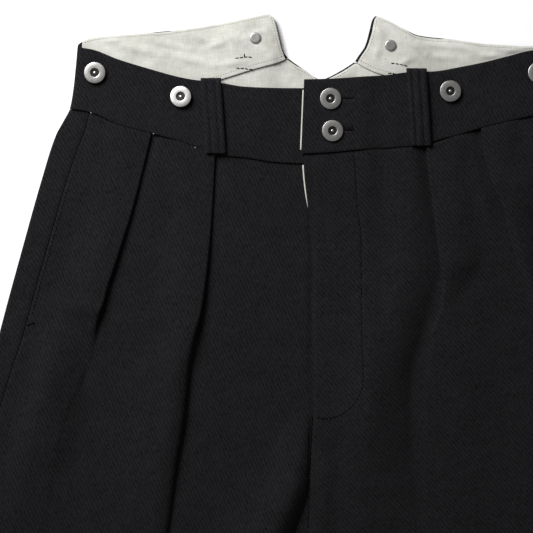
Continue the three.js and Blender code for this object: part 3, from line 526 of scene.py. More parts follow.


# near-black finish for the button recesses: painted shade inside the hole round the tack
def paintedShadeRecess():
    material, nodes, links, shader = newMaterial("dark recess")
    place = nodes.new("ShaderNodeTexCoord").outputs["Object"]
    cloud = noiseOf(nodes, links, place, 900, 3)
    links.new(colourRamp(nodes, links, cloud, (0.004, 0.004, 0.004, 1), (0.02, 0.02, 0.02, 1), 0.4, 0.8),
              shader.inputs["Base Color"])
    setInputs(shader, {"Metallic": 0.3, "Roughness": 0.4})
    return material


def sewingThread(name, low, high):
    material, nodes, links, shader = newMaterial(name)
    place = nodes.new("ShaderNodeTexCoord").outputs["Object"]
    twist = noiseOf(nodes, links, place, 2400, 2)
    links.new(colourRamp(nodes, links, twist, low, high, 0.3, 0.7), shader.inputs["Base Color"])
    setInputs(shader, {"Roughness": 0.9, "Specular IOR Level": 0.02})
    return material


wool = woolTwill()
linen = plainLinen()
pewter = satinPewter()
recess = paintedShadeRecess()
blackThread = sewingThread("black thread", (0.001, 0.001, 0.001, 1), (0.003, 0.003, 0.003, 1))
greyThread = sewingThread("grey thread", (0.03, 0.03, 0.028, 1), (0.16, 0.16, 0.15, 1))
paleThread = sewingThread("pale thread", (0.5, 0.5, 0.46, 1), (0.8, 0.8, 0.76, 1))
print("materials made")


# Fronts

frontShape = {
    "floorStart": -200, "floorOver": 110, "bandStart": -130, "bandOver": 70,
    "dipBeyond": 4, "dipBefore": 1, "dipSharp": 2.8, "dipOver": 26, "sideStart": 55, "sideOver": 45,
    "overlapStart": 33, "overlapOver": 20, "inseamBelow": 10, "inseamOver": 30,
    "curlFlat": 2.6, "curlAbove": 4, "curlOver": 22, "seamDrop": 0.6,
    "layerClear": 1, "layerOver": 20, "overPerRise": 5,
}
frontCreases = rows(
    "x0 y0 x1 y1 height width",
    (0, -285, 0, -392, 3.4, 9), (-8.5, -58, -8, -292, -1.2, 3),
    (-60, -120, -78, -330, 0.5, 24), (118, -100, 112, -330, 2.4, 18),
    (-160, -250, -120, -380, 1.6, 22), (-204, -160, -240, -270, 2.4, 15), (128, -60, 136, -150, 1.2, 9),
    (190, -230, 140, -400, 0.7, 22), (-40, -400, -130, -520, 0.9, 16), (24, -398, 110, -505, 0.8, 18),
    (-90, -640, -210, -705, 0.7, 20), (85, -675, 215, -625, 0.8, 18),
)
rollPower = 1.8  # how rounded a roll's steep side is


def roll(*values):  # a roll of cloth by its crest's line, its height and how wide its two sides are
    table = rows("y crest height steep gentle", *values)
    line = {column: along(table, "y", column) for column in ("crest", "height", "steep", "gentle")}
    line["top"], line["foot"] = table[0]["y"], table[-1]["y"]
    return line


frontRolls = [
    roll(
        (-266, -14, 0, 5, 12), (-288, -17, 3.8, 7.5, 16), (-312, -21.5, 8.8, 12, 20),
        (-332, -26, 12, 14.5, 24), (-352, -34.5, 12.6, 16.5, 26), (-366, -41, 12.4, 18, 28),
        (-392, -55, 8, 25, 28), (-440, -70, 4, 26, 28), (-520, -95, 0, 26, 28),
    ),
    roll(
        (-48, 68, 0, 13, 22), (-72, 69, 3.4, 15, 24), (-120, 73, 5.4, 18, 26), (-160, 66, 7.4, 27, 26),
        (-192, 58, 8.4, 26, 26), (-232, 48, 8.6, 25, 24), (-280, 40, 8.4, 32, 22),
        (-320, 36, 6, 38, 22), (-360, 36, 3, 42, 22), (-410, 40, 0, 42, 22),
    ),
    roll(
        (-190, -104, 0, 6.5, 12), (-210, -110, 4, 9.5, 16), (-232, -118, 7.4, 13.6, 22),
        (-272, -121, 7.6, 12.6, 26), (-312, -128, 6.6, 12.8, 28), (-348, -132, 5, 12, 28),
        (-400, -140, 2.6, 14, 28), (-470, -150, 0, 16, 28),
    ),
    roll(
        (-184, -214, 0, 24, 14), (-212, -220, 6, 30, 14), (-240, -226, 9.6, 36, 14),
        (-280, -236, 9.6, 42, 14), (-320, -246, 6, 44, 14), (-372, -252, 0, 44, 14),
    ),
]


def rollHeight(x, y):
    height = 0
    for line in frontRolls:
        if line["foot"] < y < line["top"]:
            past = x - line["crest"](y)
            if past > 0:
                height += line["height"](y) * (1 - clamp(past / line["steep"](y)) ** rollPower)
            else:
                height += line["height"](y) * math.exp(-(past / line["gentle"](y)) ** 2)
    return height


flyStitch = rows(  # the stitched line that holds the fly facing
    "x y", (25.6, -59.5), (27.2, -80), (28.5, -101), (30.4, -116), (31.6, -135), (32, -200),
    (33, -230), (32, -245.6), (26.4, -258), (20.8, -264), (12.8, -268.8), (4, -271.2), (-4, -270),
)
groove = {
    "depth": 0.7, "width": 1.1, "from": 24, "to": 36, "endY": -250, "fadeOver": 20,
    "left": -8, "right": 38, "foot": -278, "near": 6,
}


def smoothPath(table, gap):  # points about one gap apart on a smooth curve through the table
    places = [Vector((row["x"], row["y"])) for row in table]
    places = [2 * places[0] - places[1]] + places + [2 * places[-1] - places[-2]]
    path = []
    for a, b, c, d in zip(places, places[1:], places[2:], places[3:]):
        count = max(2, round((c - b).length / gap))
        for t in steps(0, 1, count):
            point = 0.5 * (2 * b + (c - a) * t + (2 * a - 5 * b + 4 * c - d) * t ** 2
                           + (3 * b - a - 3 * c + d) * t ** 3)
            path.append((point.x, point.y))
    path.append(tuple(places[-2]))
    return path


flyStitchPath = smoothPath(flyStitch, 1.2)


def flyGroove(x, y):
    if not (groove["left"] < x < groove["right"] and y > groove["foot"]):
        return 0
    gaps = [math.hypot(x - px, y - py) for px, py in flyStitchPath if abs(py - y) < groove["near"]]
    if not gaps:
        return 0
    deep = groove["depth"] * ease((y - groove["endY"]) / groove["fadeOver"])
    return -deep * math.exp(-(min(gaps) / groove["width"]) ** 2)


def levelled(y, top, panelTop):  # rows follow the curved upper edge and level out at the crotch
    return y + (top - panelTop) * clamp((y - length["level"]) / (panelTop - length["level"]))


def settle(outAt, heightAt, y):
    out = outAt(y)
    for _ in range(4):
        out = outAt(heightAt(out))
    return out


def frontBase(side, out, y, folds):
    shape = frontShape
    dip = 0
    for fold in folds:
        before = fold["edge"] - shape["dipBefore"] - out
        beyond = out - fold["edge"] - fold["depth"] - shape["dipBeyond"]
        dip = max(dip, 1 - ease(max(before * shape["dipSharp"], beyond, 0) / shape["dipOver"]))
    near = ease((y - shape["bandStart"]) / shape["bandOver"])
    floor = mix(layer["lowFloor"], layer["pleatFloor"], ease((y - shape["floorStart"]) / shape["floorOver"]))
    sideRise = ease((shape["sideStart"] - sideOuter(side, y) + out) / shape["sideOver"])
    overlap = 0
    if side["sign"] > 0:
        overlap = overlapLiftAt(y) * (1 - ease((out - shape["overlapStart"]) / shape["overlapOver"]))
    legEdge = innerEdge(side, y, centreFrontAt(y))
    inseamRise = ease((length["crotch"] + shape["inseamBelow"] - y) / shape["inseamOver"])
    inseamRise *= 1 - ease((out - legEdge) / shape["inseamOver"])
    x = side["sign"] * out
    creases = (creaseHeight(x, y, frontCreases) + rollHeight(x, y)) * (1 - sideRise)
    height = floor + layer["frontRise"] * near * (1 - dip) + overlap + creases
    height = mix(height, layer["side"], sideRise)
    height = mix(height, layer["inseam"], inseamRise)
    return height + (flyGroove(x, y) if side["sign"] > 0 else 0)


def frontInnerOut(side, y):
    if side["sign"] > 0 or y < length["flyEnd"]:
        return innerEdge(side, y, centreFrontAt(y))
    return -shieldInnerAt(y)


def innerCurl(y, count=6):  # the inner leg edge turns through a quarter circle
    angle = math.pi / 2 * ease((length["crotch"] + frontShape["curlAbove"] - y) / frontShape["curlOver"])
    radius = (layer["inseam"] - layer["back"] - cloth["seamGap"]) / 2
    width = mix(frontShape["curlFlat"], radius, math.sin(angle))
    bends = []
    for part in steps(1, 0, count):
        inward = width * mix(part, math.sin(angle * part), math.sin(angle))
        drop = radius * (1 - math.cos(angle * part)) + frontShape["seamDrop"] * part ** 2 * math.cos(angle)
        bends.append((angle * part, inward, drop))
    return width, bends


class Pen:  # a line drawn step by step in a section: straight ahead, or round a turn
    def __init__(self, out, height):
        self.out, self.height, self.heading = out, height, 0.0
        self.points = []

    def mark(self):
        self.points.append((self.out, self.height, self.heading))

    def turn(self, angle, radius, count):
        bend = math.copysign(1, angle)
        centreOut = self.out - bend * radius * math.sin(self.heading)
        centreHeight = self.height + bend * radius * math.cos(self.heading)
        for _ in range(count):
            self.heading += angle / count
            self.out = centreOut + bend * radius * math.sin(self.heading)
            self.height = centreHeight - bend * radius * math.cos(self.heading)
            self.mark()

    def ahead(self, distance):
        self.out += distance * math.cos(self.heading)
        self.height += distance * math.sin(self.heading)
        self.mark()


frontMesh = {
    "top": -62, "placketOut": 39, "flyColumns": 20, "grooveColumns": 22, "pastColumns": 3,
    "innerColumns": 14, "betweenColumns": 12, "underColumns": 4, "turnSteps": 8, "foldColumns": 4,
    "sideColumns": 16,
    "bands": rows("start end step", (-62, -228, 3), (-228, -276, 1.6), (-276, -440, 3), (-440, -1040, 9)),
}
seamDip = rows(
    "at down lean", (-3, 0, 0), (-2, 0.05, 0.1), (-1.2, 0.2, 0.3), (-0.5, 0.45, 0.5), (0, 0.75, 0.7),
)


def rowHeights(bands, last):
    heights = []
    for band in bands:
        count = round((band["start"] - band["end"]) / band["step"])
        heights.extend(steps(band["start"], band["end"], count))
    return heights + [last]


def frontSection(side, rowY):
    def heightAt(out):
        return levelled(rowY, side["frontSeam"](out) - cloth["bandSeamGap"], frontMesh["top"])

    innerOut = settle(lambda y: frontInnerOut(side, y), heightAt, rowY)
    seamOut = settle(lambda y: sideSeam(side, y), heightAt, rowY) - cloth["seamGap"]
    folds = []
    for line in side["pleatLines"]:
        edge = settle(line["edge"], heightAt, rowY)
        y = heightAt(edge)
        turn = math.radians(line["turn"](y))
        folds.append({"edge": edge, "depth": line["depth"](y), "turn": turn, "radius": line["radius"](y)})

    def base(out):
        return frontBase(side, out, heightAt(out), folds)

    section = []

    def put(out, height, tilt):
        section.append(clothPoint(side, out, heightAt(out), height + base(out), tilt))

    def run(start, end, count, carried):
        reach = 0.5
        for out in steps(start, end, count):
            rise = base(out + reach) + carried(out + reach) - base(out - reach) - carried(out - reach)
            put(out, carried(out), math.atan(rise / (2 * reach)))

    width, bends = innerCurl(heightAt(innerOut))
    start = innerOut + width
    for bend, inward, drop in bends:
        put(start - inward, -drop, bend)

    def carried(out):
        return 0

    half = cloth["wool"] / 2
    for number, fold in enumerate(folds):
        backBend = (1 - math.cos(fold["turn"])) / 2
        root = fold["edge"] - fold["depth"] * math.cos(fold["turn"]) + (fold["radius"] + half) * backBend
        under = min(fold["edge"], root - 3)
        if number == 0:
            placketOut = max(frontMesh["placketOut"], start + 6)
            if start < groove["from"] - 2:
                run(start, groove["from"], frontMesh["flyColumns"], carried)
                run(groove["from"], groove["to"], frontMesh["grooveColumns"], carried)
                run(groove["to"], placketOut, frontMesh["pastColumns"], carried)
            else:
                count = frontMesh["flyColumns"] + frontMesh["grooveColumns"] + frontMesh["pastColumns"]
                run(start, placketOut, count, carried)
            run(placketOut, under, frontMesh["innerColumns"], carried)
        else:
            run(start, under, frontMesh["betweenColumns"], carried)
        run(under, root, frontMesh["underColumns"], carried)
        pen = Pen(root, carried(root))
        pen.mark()
        pen.turn(fold["turn"], fold["radius"], frontMesh["turnSteps"])
        for _ in range(frontMesh["foldColumns"]):
            pen.ahead(fold["depth"] / frontMesh["foldColumns"])
        pen.turn(-fold["turn"], fold["radius"], frontMesh["turnSteps"])
        for out, height, heading in pen.points:
            put(out, height, heading)
        crest = pen.height
        shoulder = root + fold["radius"] + half + frontShape["layerClear"]
        over = clamp(frontShape["overPerRise"] * crest, frontShape["layerOver"], 2 * frontShape["layerOver"])

        def carried(out, crest=crest, shoulder=shoulder, over=over):
            return crest * (1 - ease((out - shoulder) / over))

        start = max(shoulder, pen.out + frontShape["layerClear"])
    run(start, seamOut - 3, frontMesh["sideColumns"], carried)
    for part in seamDip:
        put(seamOut + part["at"], -part["down"], -part["lean"])
    return section


def makeFronts():
    heights = rowHeights(frontMesh["bands"], length["hem"])
    for side in bothSides:
        grid = [frontSection(side, rowY) for rowY in heights]
        piece = clothShell("wool_front_" + side["name"], grid, cloth["wool"], wool,
                           twill[side["name"]], straight=True)
        dressCloth(piece, grid, "front_" + side["name"])


# Backs

backMesh = {
    "top": 1, "flatColumns": 42, "foldSteps": 12,
    "bands": rows("start end step", (1, -60, 3), (-60, -370, 5), (-370, -440, 4), (-440, -1040, 9)),
}


def centreBackAt(y):
    return -length["crotchShift"] * clamp(y / length["crotch"])


def backPanelTop(side, out):
    if out < side["notch"][0]["out"]:
        return side["seatEdgeAt"](out)
    return side["backSeam"](out)


def backRow(side, rowY):
    def lowerY(out):
        return levelled(rowY, backPanelTop(side, out) - cloth["bandSeamGap"], backMesh["top"])

    def upperY(out):
        return levelled(rowY, side["frontSeam"](out) - cloth["bandSeamGap"], backMesh["top"])

    innerOut = settle(lambda y: innerEdge(side, y, centreBackAt(y)), lowerY, rowY)
    width, bends = innerCurl(lowerY(innerOut))
    radius = (layer["side"] - layer["back"]) / 2
    turnOut = settle(lambda y: sideOuter(side, y), upperY, rowY) - radius - cloth["wool"] / 2
    return lowerY, upperY, bends, radius, turnOut, innerOut + width


def backSection(side, rowY):
    lowerY, upperY, bends, radius, turnOut, flatFrom = backRow(side, rowY)
    seamOut = settle(lambda y: sideSeam(side, y), upperY, rowY)
    section = []
    for bend, inward, drop in bends:
        out = flatFrom - inward
        section.append(clothPoint(side, out, lowerY(out), layer["back"] + drop, -bend))
    for out in steps(flatFrom, turnOut, backMesh["flatColumns"]):
        section.append(clothPoint(side, out, lowerY(out), layer["back"]))
    pen = Pen(turnOut, layer["back"])
    pen.mark()
    pen.turn(math.pi, radius, backMesh["foldSteps"])
    for i, (out, height, heading) in enumerate(pen.points):
        y = mix(lowerY(out), upperY(out), i / backMesh["foldSteps"])
        section.append(clothPoint(side, out, y, height, heading))
    for out in steps(pen.out, seamOut, 4)[1:] + [seamOut]:
        section.append(clothPoint(side, out, upperY(out), layer["side"], math.pi))
    return section


def makeBacks():
    heights = rowHeights(backMesh["bands"], length["hem"])
    for side in bothSides:
        grid = [backSection(side, rowY) for rowY in heights]
        piece = clothShell("wool_back_" + side["name"], grid, cloth["wool"], wool, straight=True)
        dressCloth(piece, grid, "back_" + side["name"])


# Waistband and linings

bandMesh = {
    "across": [0, 0.03, 0.08, 0.15, 0.25, 0.37, 0.5, 0.63, 0.75, 0.85, 0.92, 0.97, 1],
    "frontColumns": 112, "foldSteps": 10, "backColumns": 56,
    "foldFoot": -23, "foldTop": 27,
}
braceButtons = {
    "right_outer": {"x": -181.6, "y": 5.6, "tilt": (1, 1)},
    "right_inner": {"x": -112.8, "y": -13.6, "tilt": (-3, -3)},
    "left_inner": {"x": 102.4, "y": -9, "tilt": (2, 2)},
    "left_outer": {"x": 172.8, "y": 5.6, "tilt": (0, 1)},
}
flyButtons = {"upper": flyButton, "lower": {"x": 8, "y": -40.8}}
flyTilt = (1.5, 2.5)
buttonDent = {"depth": 0.7, "reach": 6, "fade": 9}
bandCreases = rows(
    "x0 y0 x1 y1 height width",
    (-186, -8, -150, 4, 0.35, 7), (-140, -36, -96, -14, 0.3, 9), (-60, -50, -28, -24, 0.3, 10),
    (30, -44, 70, -20, 0.3, 9), (108, -36, 160, -10, 0.35, 9), (-30, -12, -70, -26, -0.25, 7),
)


def bandFrontLevel(side, out, y):
    part = 1 - ease((out - bandOverlap["start"]) / bandOverlap["over"])
    x = side["sign"] * out
    height = layer["frontBand"] + (bandOverlap["lift"] * part if side["sign"] > 0 else 0)
    height += 0.25 * uneven(x, y, 22, 3.1) + creaseHeight(x, y, bandCreases)
    for place in list(braceButtons.values()) + (list(flyButtons.values()) if side["sign"] > 0 else []):
        away = math.hypot(x - place["x"], y - place["y"])
        if away < 24:
            height -= buttonDent["depth"] * (1 - ease((away - buttonDent["reach"]) / buttonDent["fade"]))
    return height


def backBandPlace(side, part, across, start, inset):
    out = mix(start, side["notchAt"](across) + inset, part)
    return out, mix(side["backSeam"](out), side["backTop"](out) - inset, across)


def bandFold(side, across):
    return sideOuter(side, mix(bandMesh["foldFoot"], bandMesh["foldTop"], across))


bandCalm = 14  # how far from the side fold the front band's unevenness dies away


def bandGrid(side):
    radius = (layer["frontBand"] - layer["backBand"]) / 2
    grid = []
    for across in bandMesh["across"]:
        turnOut = bandFold(side, across) - radius - cloth["band"] / 2
        endOut = mix(side["bandEnd"]["foot"], side["bandEnd"]["top"], across)
        row = []
        for out in steps(endOut, turnOut, bandMesh["frontColumns"]):
            y = mix(side["frontSeam"](out), side["frontTop"](out), across)
            calm = ease((turnOut - out) / bandCalm)
            level = mix(layer["frontBand"], bandFrontLevel(side, out, y), calm)
            rise = bandFrontLevel(side, out + 0.5, y) - bandFrontLevel(side, out - 0.5, y)
            row.append(clothPoint(side, out, y, level, math.atan(rise * calm)))
        pen = Pen(turnOut, layer["frontBand"])
        pen.mark()
        pen.turn(-math.pi, radius, bandMesh["foldSteps"])
        frontY = mix(side["frontSeam"](turnOut), side["frontTop"](turnOut), across)
        backY = backBandPlace(side, 0, across, turnOut, 0)[1]
        for i, (out, height, heading) in enumerate(pen.points):
            y = mix(frontY, backY, i / bandMesh["foldSteps"])
            row.append(clothPoint(side, out, y, height, heading))
        for part in steps(0, 1, bandMesh["backColumns"])[1:] + [1]:
            out, y = backBandPlace(side, part, across, turnOut, 0)
            row.append(clothPoint(side, out, y, layer["backBand"], -math.pi))
        grid.append(row)
    return grid


buttonhole = {
    "start": 4, "end": 26, "wide": 0.45, "eye": 3.1, "segments": 24,
    "cutHeight": 11, "cutDepth": 40,
}


def cutButtonholes(piece):  # each buttonhole has an eye round its button's shank
    deep = buttonhole["cutDepth"] * mm
    height = buttonhole["cutHeight"]
    for place in flyButtons.values():
        middle = (buttonhole["start"] + buttonhole["end"]) / 2
        bpy.ops.mesh.primitive_cube_add(size=1, location=toFrame(middle, place["y"], height))
        slot = bpy.context.object
        slot.scale = ((buttonhole["end"] - buttonhole["start"]) * mm, buttonhole["wide"] * mm, deep)
        bpy.ops.mesh.primitive_cylinder_add(
            vertices=buttonhole["segments"], radius=buttonhole["eye"] * mm, depth=deep,
            location=toFrame(place["x"], place["y"], height))
        eye = bpy.context.object
        for cutter in (slot, eye):
            cut = piece.modifiers.new("cut", "BOOLEAN")
            cut.operation = "DIFFERENCE"
            cut.solver = "EXACT"
            cut.object = cutter
            bpy.context.view_layer.objects.active = piece
            bpy.ops.object.modifier_apply(modifier=cut.name)
            bpy.data.objects.remove(cutter, do_unlink=True)


def makeBands():
    for side in bothSides:
        grid = bandGrid(side)
        piece = clothShell("wool_waistband_" + side["name"], grid, cloth["band"], wool)
        if side["sign"] > 0:
            cutButtonholes(piece)
        dressCloth(piece, grid, "waistband_" + side["name"])


liningMesh = {
    "columns": 110, "rows": 44, "under": 1, "overSeam": 1.1,
    "seatRows": 18, "seatColumns": 60, "seatFoot": -34, "seatReach": 0.46,
}
liningTopInset = {  # how far the black outer cloth shows beyond the linen's upper edge
    "right": rows("out by", (28, 0.2), (117, 0.2), (123, 0.8), (131, 0.8), (137, 0.2)),
    "left": rows("out by", (42, 0.2), (66, 0.3), (74, 1.0), (94, 1.0), (100, 0.2)),
}
liningNotchInset = {
    "right": rows("rise by", (0, 1.5), (0.08, 0.9), (0.18, 0.25), (1, 0.2)),
    "left": rows("rise by", (0, 1.5), (0.3, 1.3), (0.7, 2.0), (0.95, 1.7), (1, 1.2)),
}
seatEdgeInset = {
    "right": rows("out by", (0, 0.3), (15, 0.3), (20, 1.2), (28, 1.5), (32, 0)),
    "left": rows("out by", (0, 0.5), (6, 1.2), (27, 1.6), (31, 0)),
}
liningCreases = rows(
    "x0 y0 x1 y1 height width",
    (-166, 30, -128, 20, 1.3, 3.4), (-140, 33, -104, 24, 1.1, 3), (-126, 22, -88, 12, 1.2, 3.6),
    (-108, 38, -82, 28, 1.2, 3), (-96, 24, -74, 33, 1.1, 2.8), (-76, 40, -62, 28, 1.2, 3),
    (-84, 12, -62, 14, 1, 2.6), (-48, 44, -36, 28, 1.3, 3), (-44, 24, -34, 12, 1.1, 2.6),
    (-180, 31, -158, 33, 1.1, 2.4), (-60, 34, -46, 40, 1, 2.6),
    (40, 46, 52, 30, 1.3, 3), (46, 28, 42, 14, 1.1, 2.8), (66, 34, 84, 22, 1.3, 3.2),
    (78, 30, 104, 26, 1.1, 2.8), (84, 20, 112, 17, 1.2, 3), (100, 30, 130, 22, 1.2, 3.2),
    (120, 20, 146, 19, 1.1, 2.8), (60, 12, 74, 18, 1, 2.8), (134, 26, 160, 23, 1.1, 2.6),
    (150, 24, 176, 25, 1, 2.4),
)
seatCreases = rows(
    "x0 y0 x1 y1 height width",
    (-40, 5, -20, 2.5, 0.9, 2.2), (-32, 13, -14, 7, 0.7, 2.6), (-60, 2, -44, 7, 0.6, 2.6),
    (8, 3, 30, 7, 0.8, 2.2), (20, 13, 36, 8, 0.6, 2.6),
)


def seatLiningLevel(x, y):
    shows = ease((y + 4) / 6) * ease((24.5 - abs(x)) / 6 + 1)
    return layer["seatLining"] + shows * max(0, creaseHeight(x, y, seatCreases))


def liningLevel(x, y):  # flat where the front band covers it
    front = rightSide["frontTop"] if x < 0 else leftSide["frontTop"]
    shows = ease((y - front(abs(x)) + 1) / 5)
    wavy = 0.3 + 0.25 * uneven(x, y, 9, 7.7) + creaseHeight(x, y, liningCreases)
    return layer["bandLining"] + shows * wavy


def liningPlace(side, part, across):
    topInset = along(liningTopInset[side["name"]], "out", "by")
    notchInset = along(liningNotchInset[side["name"]], "rise", "by")(across)
    start = bandFold(side, across) - cloth["band"] - liningMesh["under"]
    out = mix(start, side["notchAt"](across) + notchInset, part)
    foot = side["backSeam"](out) - liningMesh["overSeam"]
    return out, mix(foot, side["backTop"](out) - topInset(out), across)


def makeBandLining(side):
    grid = []
    for across in steps(0, 1, liningMesh["rows"]) + [1]:
        row = []
        for part in steps(0, 1, liningMesh["columns"]) + [1]:
            out, y = liningPlace(side, part, across)
            row.append(clothPoint(side, out, y, liningLevel(side["sign"] * out, y)))
        grid.append(row)
    piece = clothShell("linen_band_lining_" + side["name"], grid, cloth["linen"], linen)
    dressCloth(piece, grid, "waistband_lining_" + side["name"])


def makeSeatLining(side):
    grid = []
    edgeInset = along(seatEdgeInset[side["name"]], "out", "by")
    foot, reach = liningMesh["seatFoot"], liningMesh["seatReach"]
    for rowY in steps(backMesh["top"], foot, liningMesh["seatRows"]) + [foot]:
        lowerY, _, _, _, turnOut, flatFrom = backRow(side, rowY)
        row = []
        for part in steps(0, reach, liningMesh["seatColumns"]) + [reach]:
            out = mix(flatFrom, turnOut, part)
            y = lowerY(out) - edgeInset(out)
            row.append(clothPoint(side, out, y, seatLiningLevel(side["sign"] * out, y)))
        grid.append(row)
    piece = clothShell("linen_seat_lining_" + side["name"], grid, cloth["linen"], linen)
    dressCloth(piece, grid, "seat_lining_" + side["name"])


def makeLinings():
    for side in bothSides:
        makeBandLining(side)
        makeSeatLining(side)


# Fly

def flyStrip(heights, nearAt, farAt, levelAt, columns=8):
    grid = []
    for y in heights:
        row = []
        for part in steps(0, 1, columns) + [1]:
            row.append(clothPoint(leftSide, mix(nearAt(y), farAt(y), part), y, levelAt(y)))
        grid.append(row)
    return grid


flyPieces = {"shieldThick": 1.8, "shieldTop": -68, "shieldFoot": -258, "facingFoot": -256, "wide": 12}
facingShows = rows("y by", (-68, 0.9), (-92, 0.7), (-108, -0.4), (-256, -0.4))
bandFacingShows = 0.9


def makeFly():
    def shieldLevel(y):
        return frontBase(rightSide, 0, y, [])

    def shieldNear(y):
        return shieldInnerAt(y) + cloth["seamGap"]

    heights = steps(flyPieces["shieldTop"], flyPieces["shieldFoot"], 60) + [flyPieces["shieldFoot"]]
    grid = flyStrip(heights, shieldNear, shieldOuterAt, shieldLevel)
    piece = clothShell("wool_fly_shield", grid, flyPieces["shieldThick"], wool)
    dressCloth(piece, grid, "fly_shield")

    showsAt = along(facingShows, "y", "by")
    over = cloth["wool"] / 2 + cloth["seamGap"] + cloth["linen"] / 2 + 0.1

    def facingNear(y):
        return centreFrontAt(y) - showsAt(y)

    def facingFar(y):
        return centreFrontAt(y) + flyPieces["wide"]

    heights = steps(flyPieces["shieldTop"], flyPieces["facingFoot"], 70) + [flyPieces["facingFoot"]]
    grid = flyStrip(heights, facingNear, facingFar, lambda y: shieldLevel(y) + over)
    piece = clothShell("linen_fly_facing", grid, cloth["linen"], linen)
    dressCloth(piece, grid, "fly_facing")

    def endAt(y):
        return mix(leftSide["bandEnd"]["top"], leftSide["bandEnd"]["foot"], clamp(-y / 58))

    level = layer["frontBand"] + cloth["band"] / 2 + cloth["seamGap"] + cloth["linen"] / 2
    heights = steps(-8, -56, 16) + [-56]
    grid = flyStrip(heights, lambda y: endAt(y) - bandFacingShows, lambda y: endAt(y) + flyPieces["wide"],
                    lambda y: level)
    piece = clothShell("linen_band_end_facing", grid, cloth["linen"], linen)
    dressCloth(piece, grid, "waistband_end_facing")


# Belt loops

loopPlaces = {"right": {"topOut": 88.9, "footOut": 84.7}, "left": {"topOut": 75.5, "footOut": 79.4}}
loopWidth = 16.5
loopProfile = rows(
    "part height", (-1, -0.8), (-0.88, 0), (-0.74, 0.5), (-0.6, 0.3), (-0.46, -0.6),
    (-0.3, 0.1), (-0.08, 0.5), (0.14, 0.2), (0.34, -0.6), (0.5, 0.1), (0.68, 0.5), (0.86, 0.05),
    (1, -0.8),
)
loopStations = rows(
    "down lift", (-0.036, -2.4), (-0.032, -0.9), (0, 0.3), (0.12, 0.8), (0.35, 1.5), (0.65, 1.6),
    (0.88, 0.9), (0.995, 0.2),
)


def makeLoops():
    liftAt = along(loopStations, "down", "lift")
    profileAt = along(loopProfile, "part", "height")
    surface = cloth["band"] / 2 + cloth["seamGap"] + cloth["loop"] / 2 + 0.3
    downs = steps(-0.036, 0.01, 8) + steps(0.01, 0.995, 44) + [0.995]
    for side in bothSides:
        place = loopPlaces[side["name"]]
        grid = []
        for down in downs:
            row = []
            for part in steps(-1, 1, 24) + [1]:
                middle = mix(place["topOut"], place["footOut"], clamp(down))
                out = middle + part * loopWidth / 2
                y = mix(side["frontTop"](middle), side["frontSeam"](middle), down)
                height = layer["frontBand"] + surface + liftAt(down) + profileAt(part)
                x, y, z, *_ = clothPoint(side, out, y, height)
                wrap = math.pi / 2 * ease((0.02 - down) / 0.04)
                row.append((x, y, z, 0.0, math.sin(wrap), math.cos(wrap)))
            grid.append(row)
        piece = clothShell("wool_loop_front_" + side["name"], grid, cloth["loop"], wool)
        dressCloth(piece, grid, "belt_loop_front_" + side["name"])
        grid = []
        for y in steps(backLoop["top"], backLoop["foot"], 16) + [backLoop["foot"]]:
            row = []
            for part in steps(-1, 1, 10) + [1]:
                x = side["sign"] * (backLoop["out"] + part * backLoop["width"] / 2)
                row.append((x, y, cloth["loop"] / 2, 0.0, 0.0, 1.0))
            grid.append(row)
        piece = clothShell("wool_loop_back_" + side["name"], grid, cloth["loop"], wool)
        dressCloth(piece, grid, "belt_loop_back_" + side["name"])


# Buttons and caps, modelled once and copied

tackButton = {
    "radius": 8.5, "flange": 1.6, "shank": 3.0, "flyShank": 2.2, "height": 3.4, "segments": 48,
    "hole": 3.9, "rim": 8.4, "rimBevel": 0.45, "holeBevel": 0.12, "smooth": 35,
    # from shadeFrom to shadeTo, below the top, the recess is painted near-black as shade
    "shadeFrom": 1.1, "shadeTo": 3.45, "shadeBelow": 0.3,
}
headSteps = ((0.35, -0.12), (0.3, -0.5), (0.15, -0.6), (1.9, 0), (0.1, 0.4), (0.5, 0.25))  # inwards, up
tackCap = {
    "radius": 4.5, "height": 1.3, "segments": 36, "bevel": 0.6, "dipIn": 1.2, "dip": 0.02, "smooth": 40,
}


def deselectAll():
    bpy.ops.object.select_all(action="DESELECT")


def selectFaces(piece, test):
    bpy.ops.mesh.select_all(action="DESELECT")
    bpy.ops.mesh.select_mode(type="FACE")
    shape = bmesh.from_edit_mesh(piece.data)
    for face in shape.faces:
        face.select_set(test(face))
    bmesh.update_edit_mesh(piece.data)


def selectEdges(piece, test):
    bpy.ops.mesh.select_all(action="DESELECT")
    bpy.ops.mesh.select_mode(type="EDGE")
    shape = bmesh.from_edit_mesh(piece.data)
    for edge in shape.edges:
        edge.select_set(test(edge))
    bmesh.update_edit_mesh(piece.data)


def editCylinder(name, size, height, middle):  # a new cylinder on the Z axis, left in edit mode
    deselectAll()
    bpy.ops.mesh.primitive_cylinder_add(
        vertices=size["segments"], radius=size["radius"] * mm, depth=height * mm,
        location=(0, 0, middle * mm))
    piece = bpy.context.object
    piece.name = name
    bpy.ops.object.transform_apply(location=True, rotation=True, scale=True)
    bpy.ops.object.mode_set(mode="EDIT")
    return piece


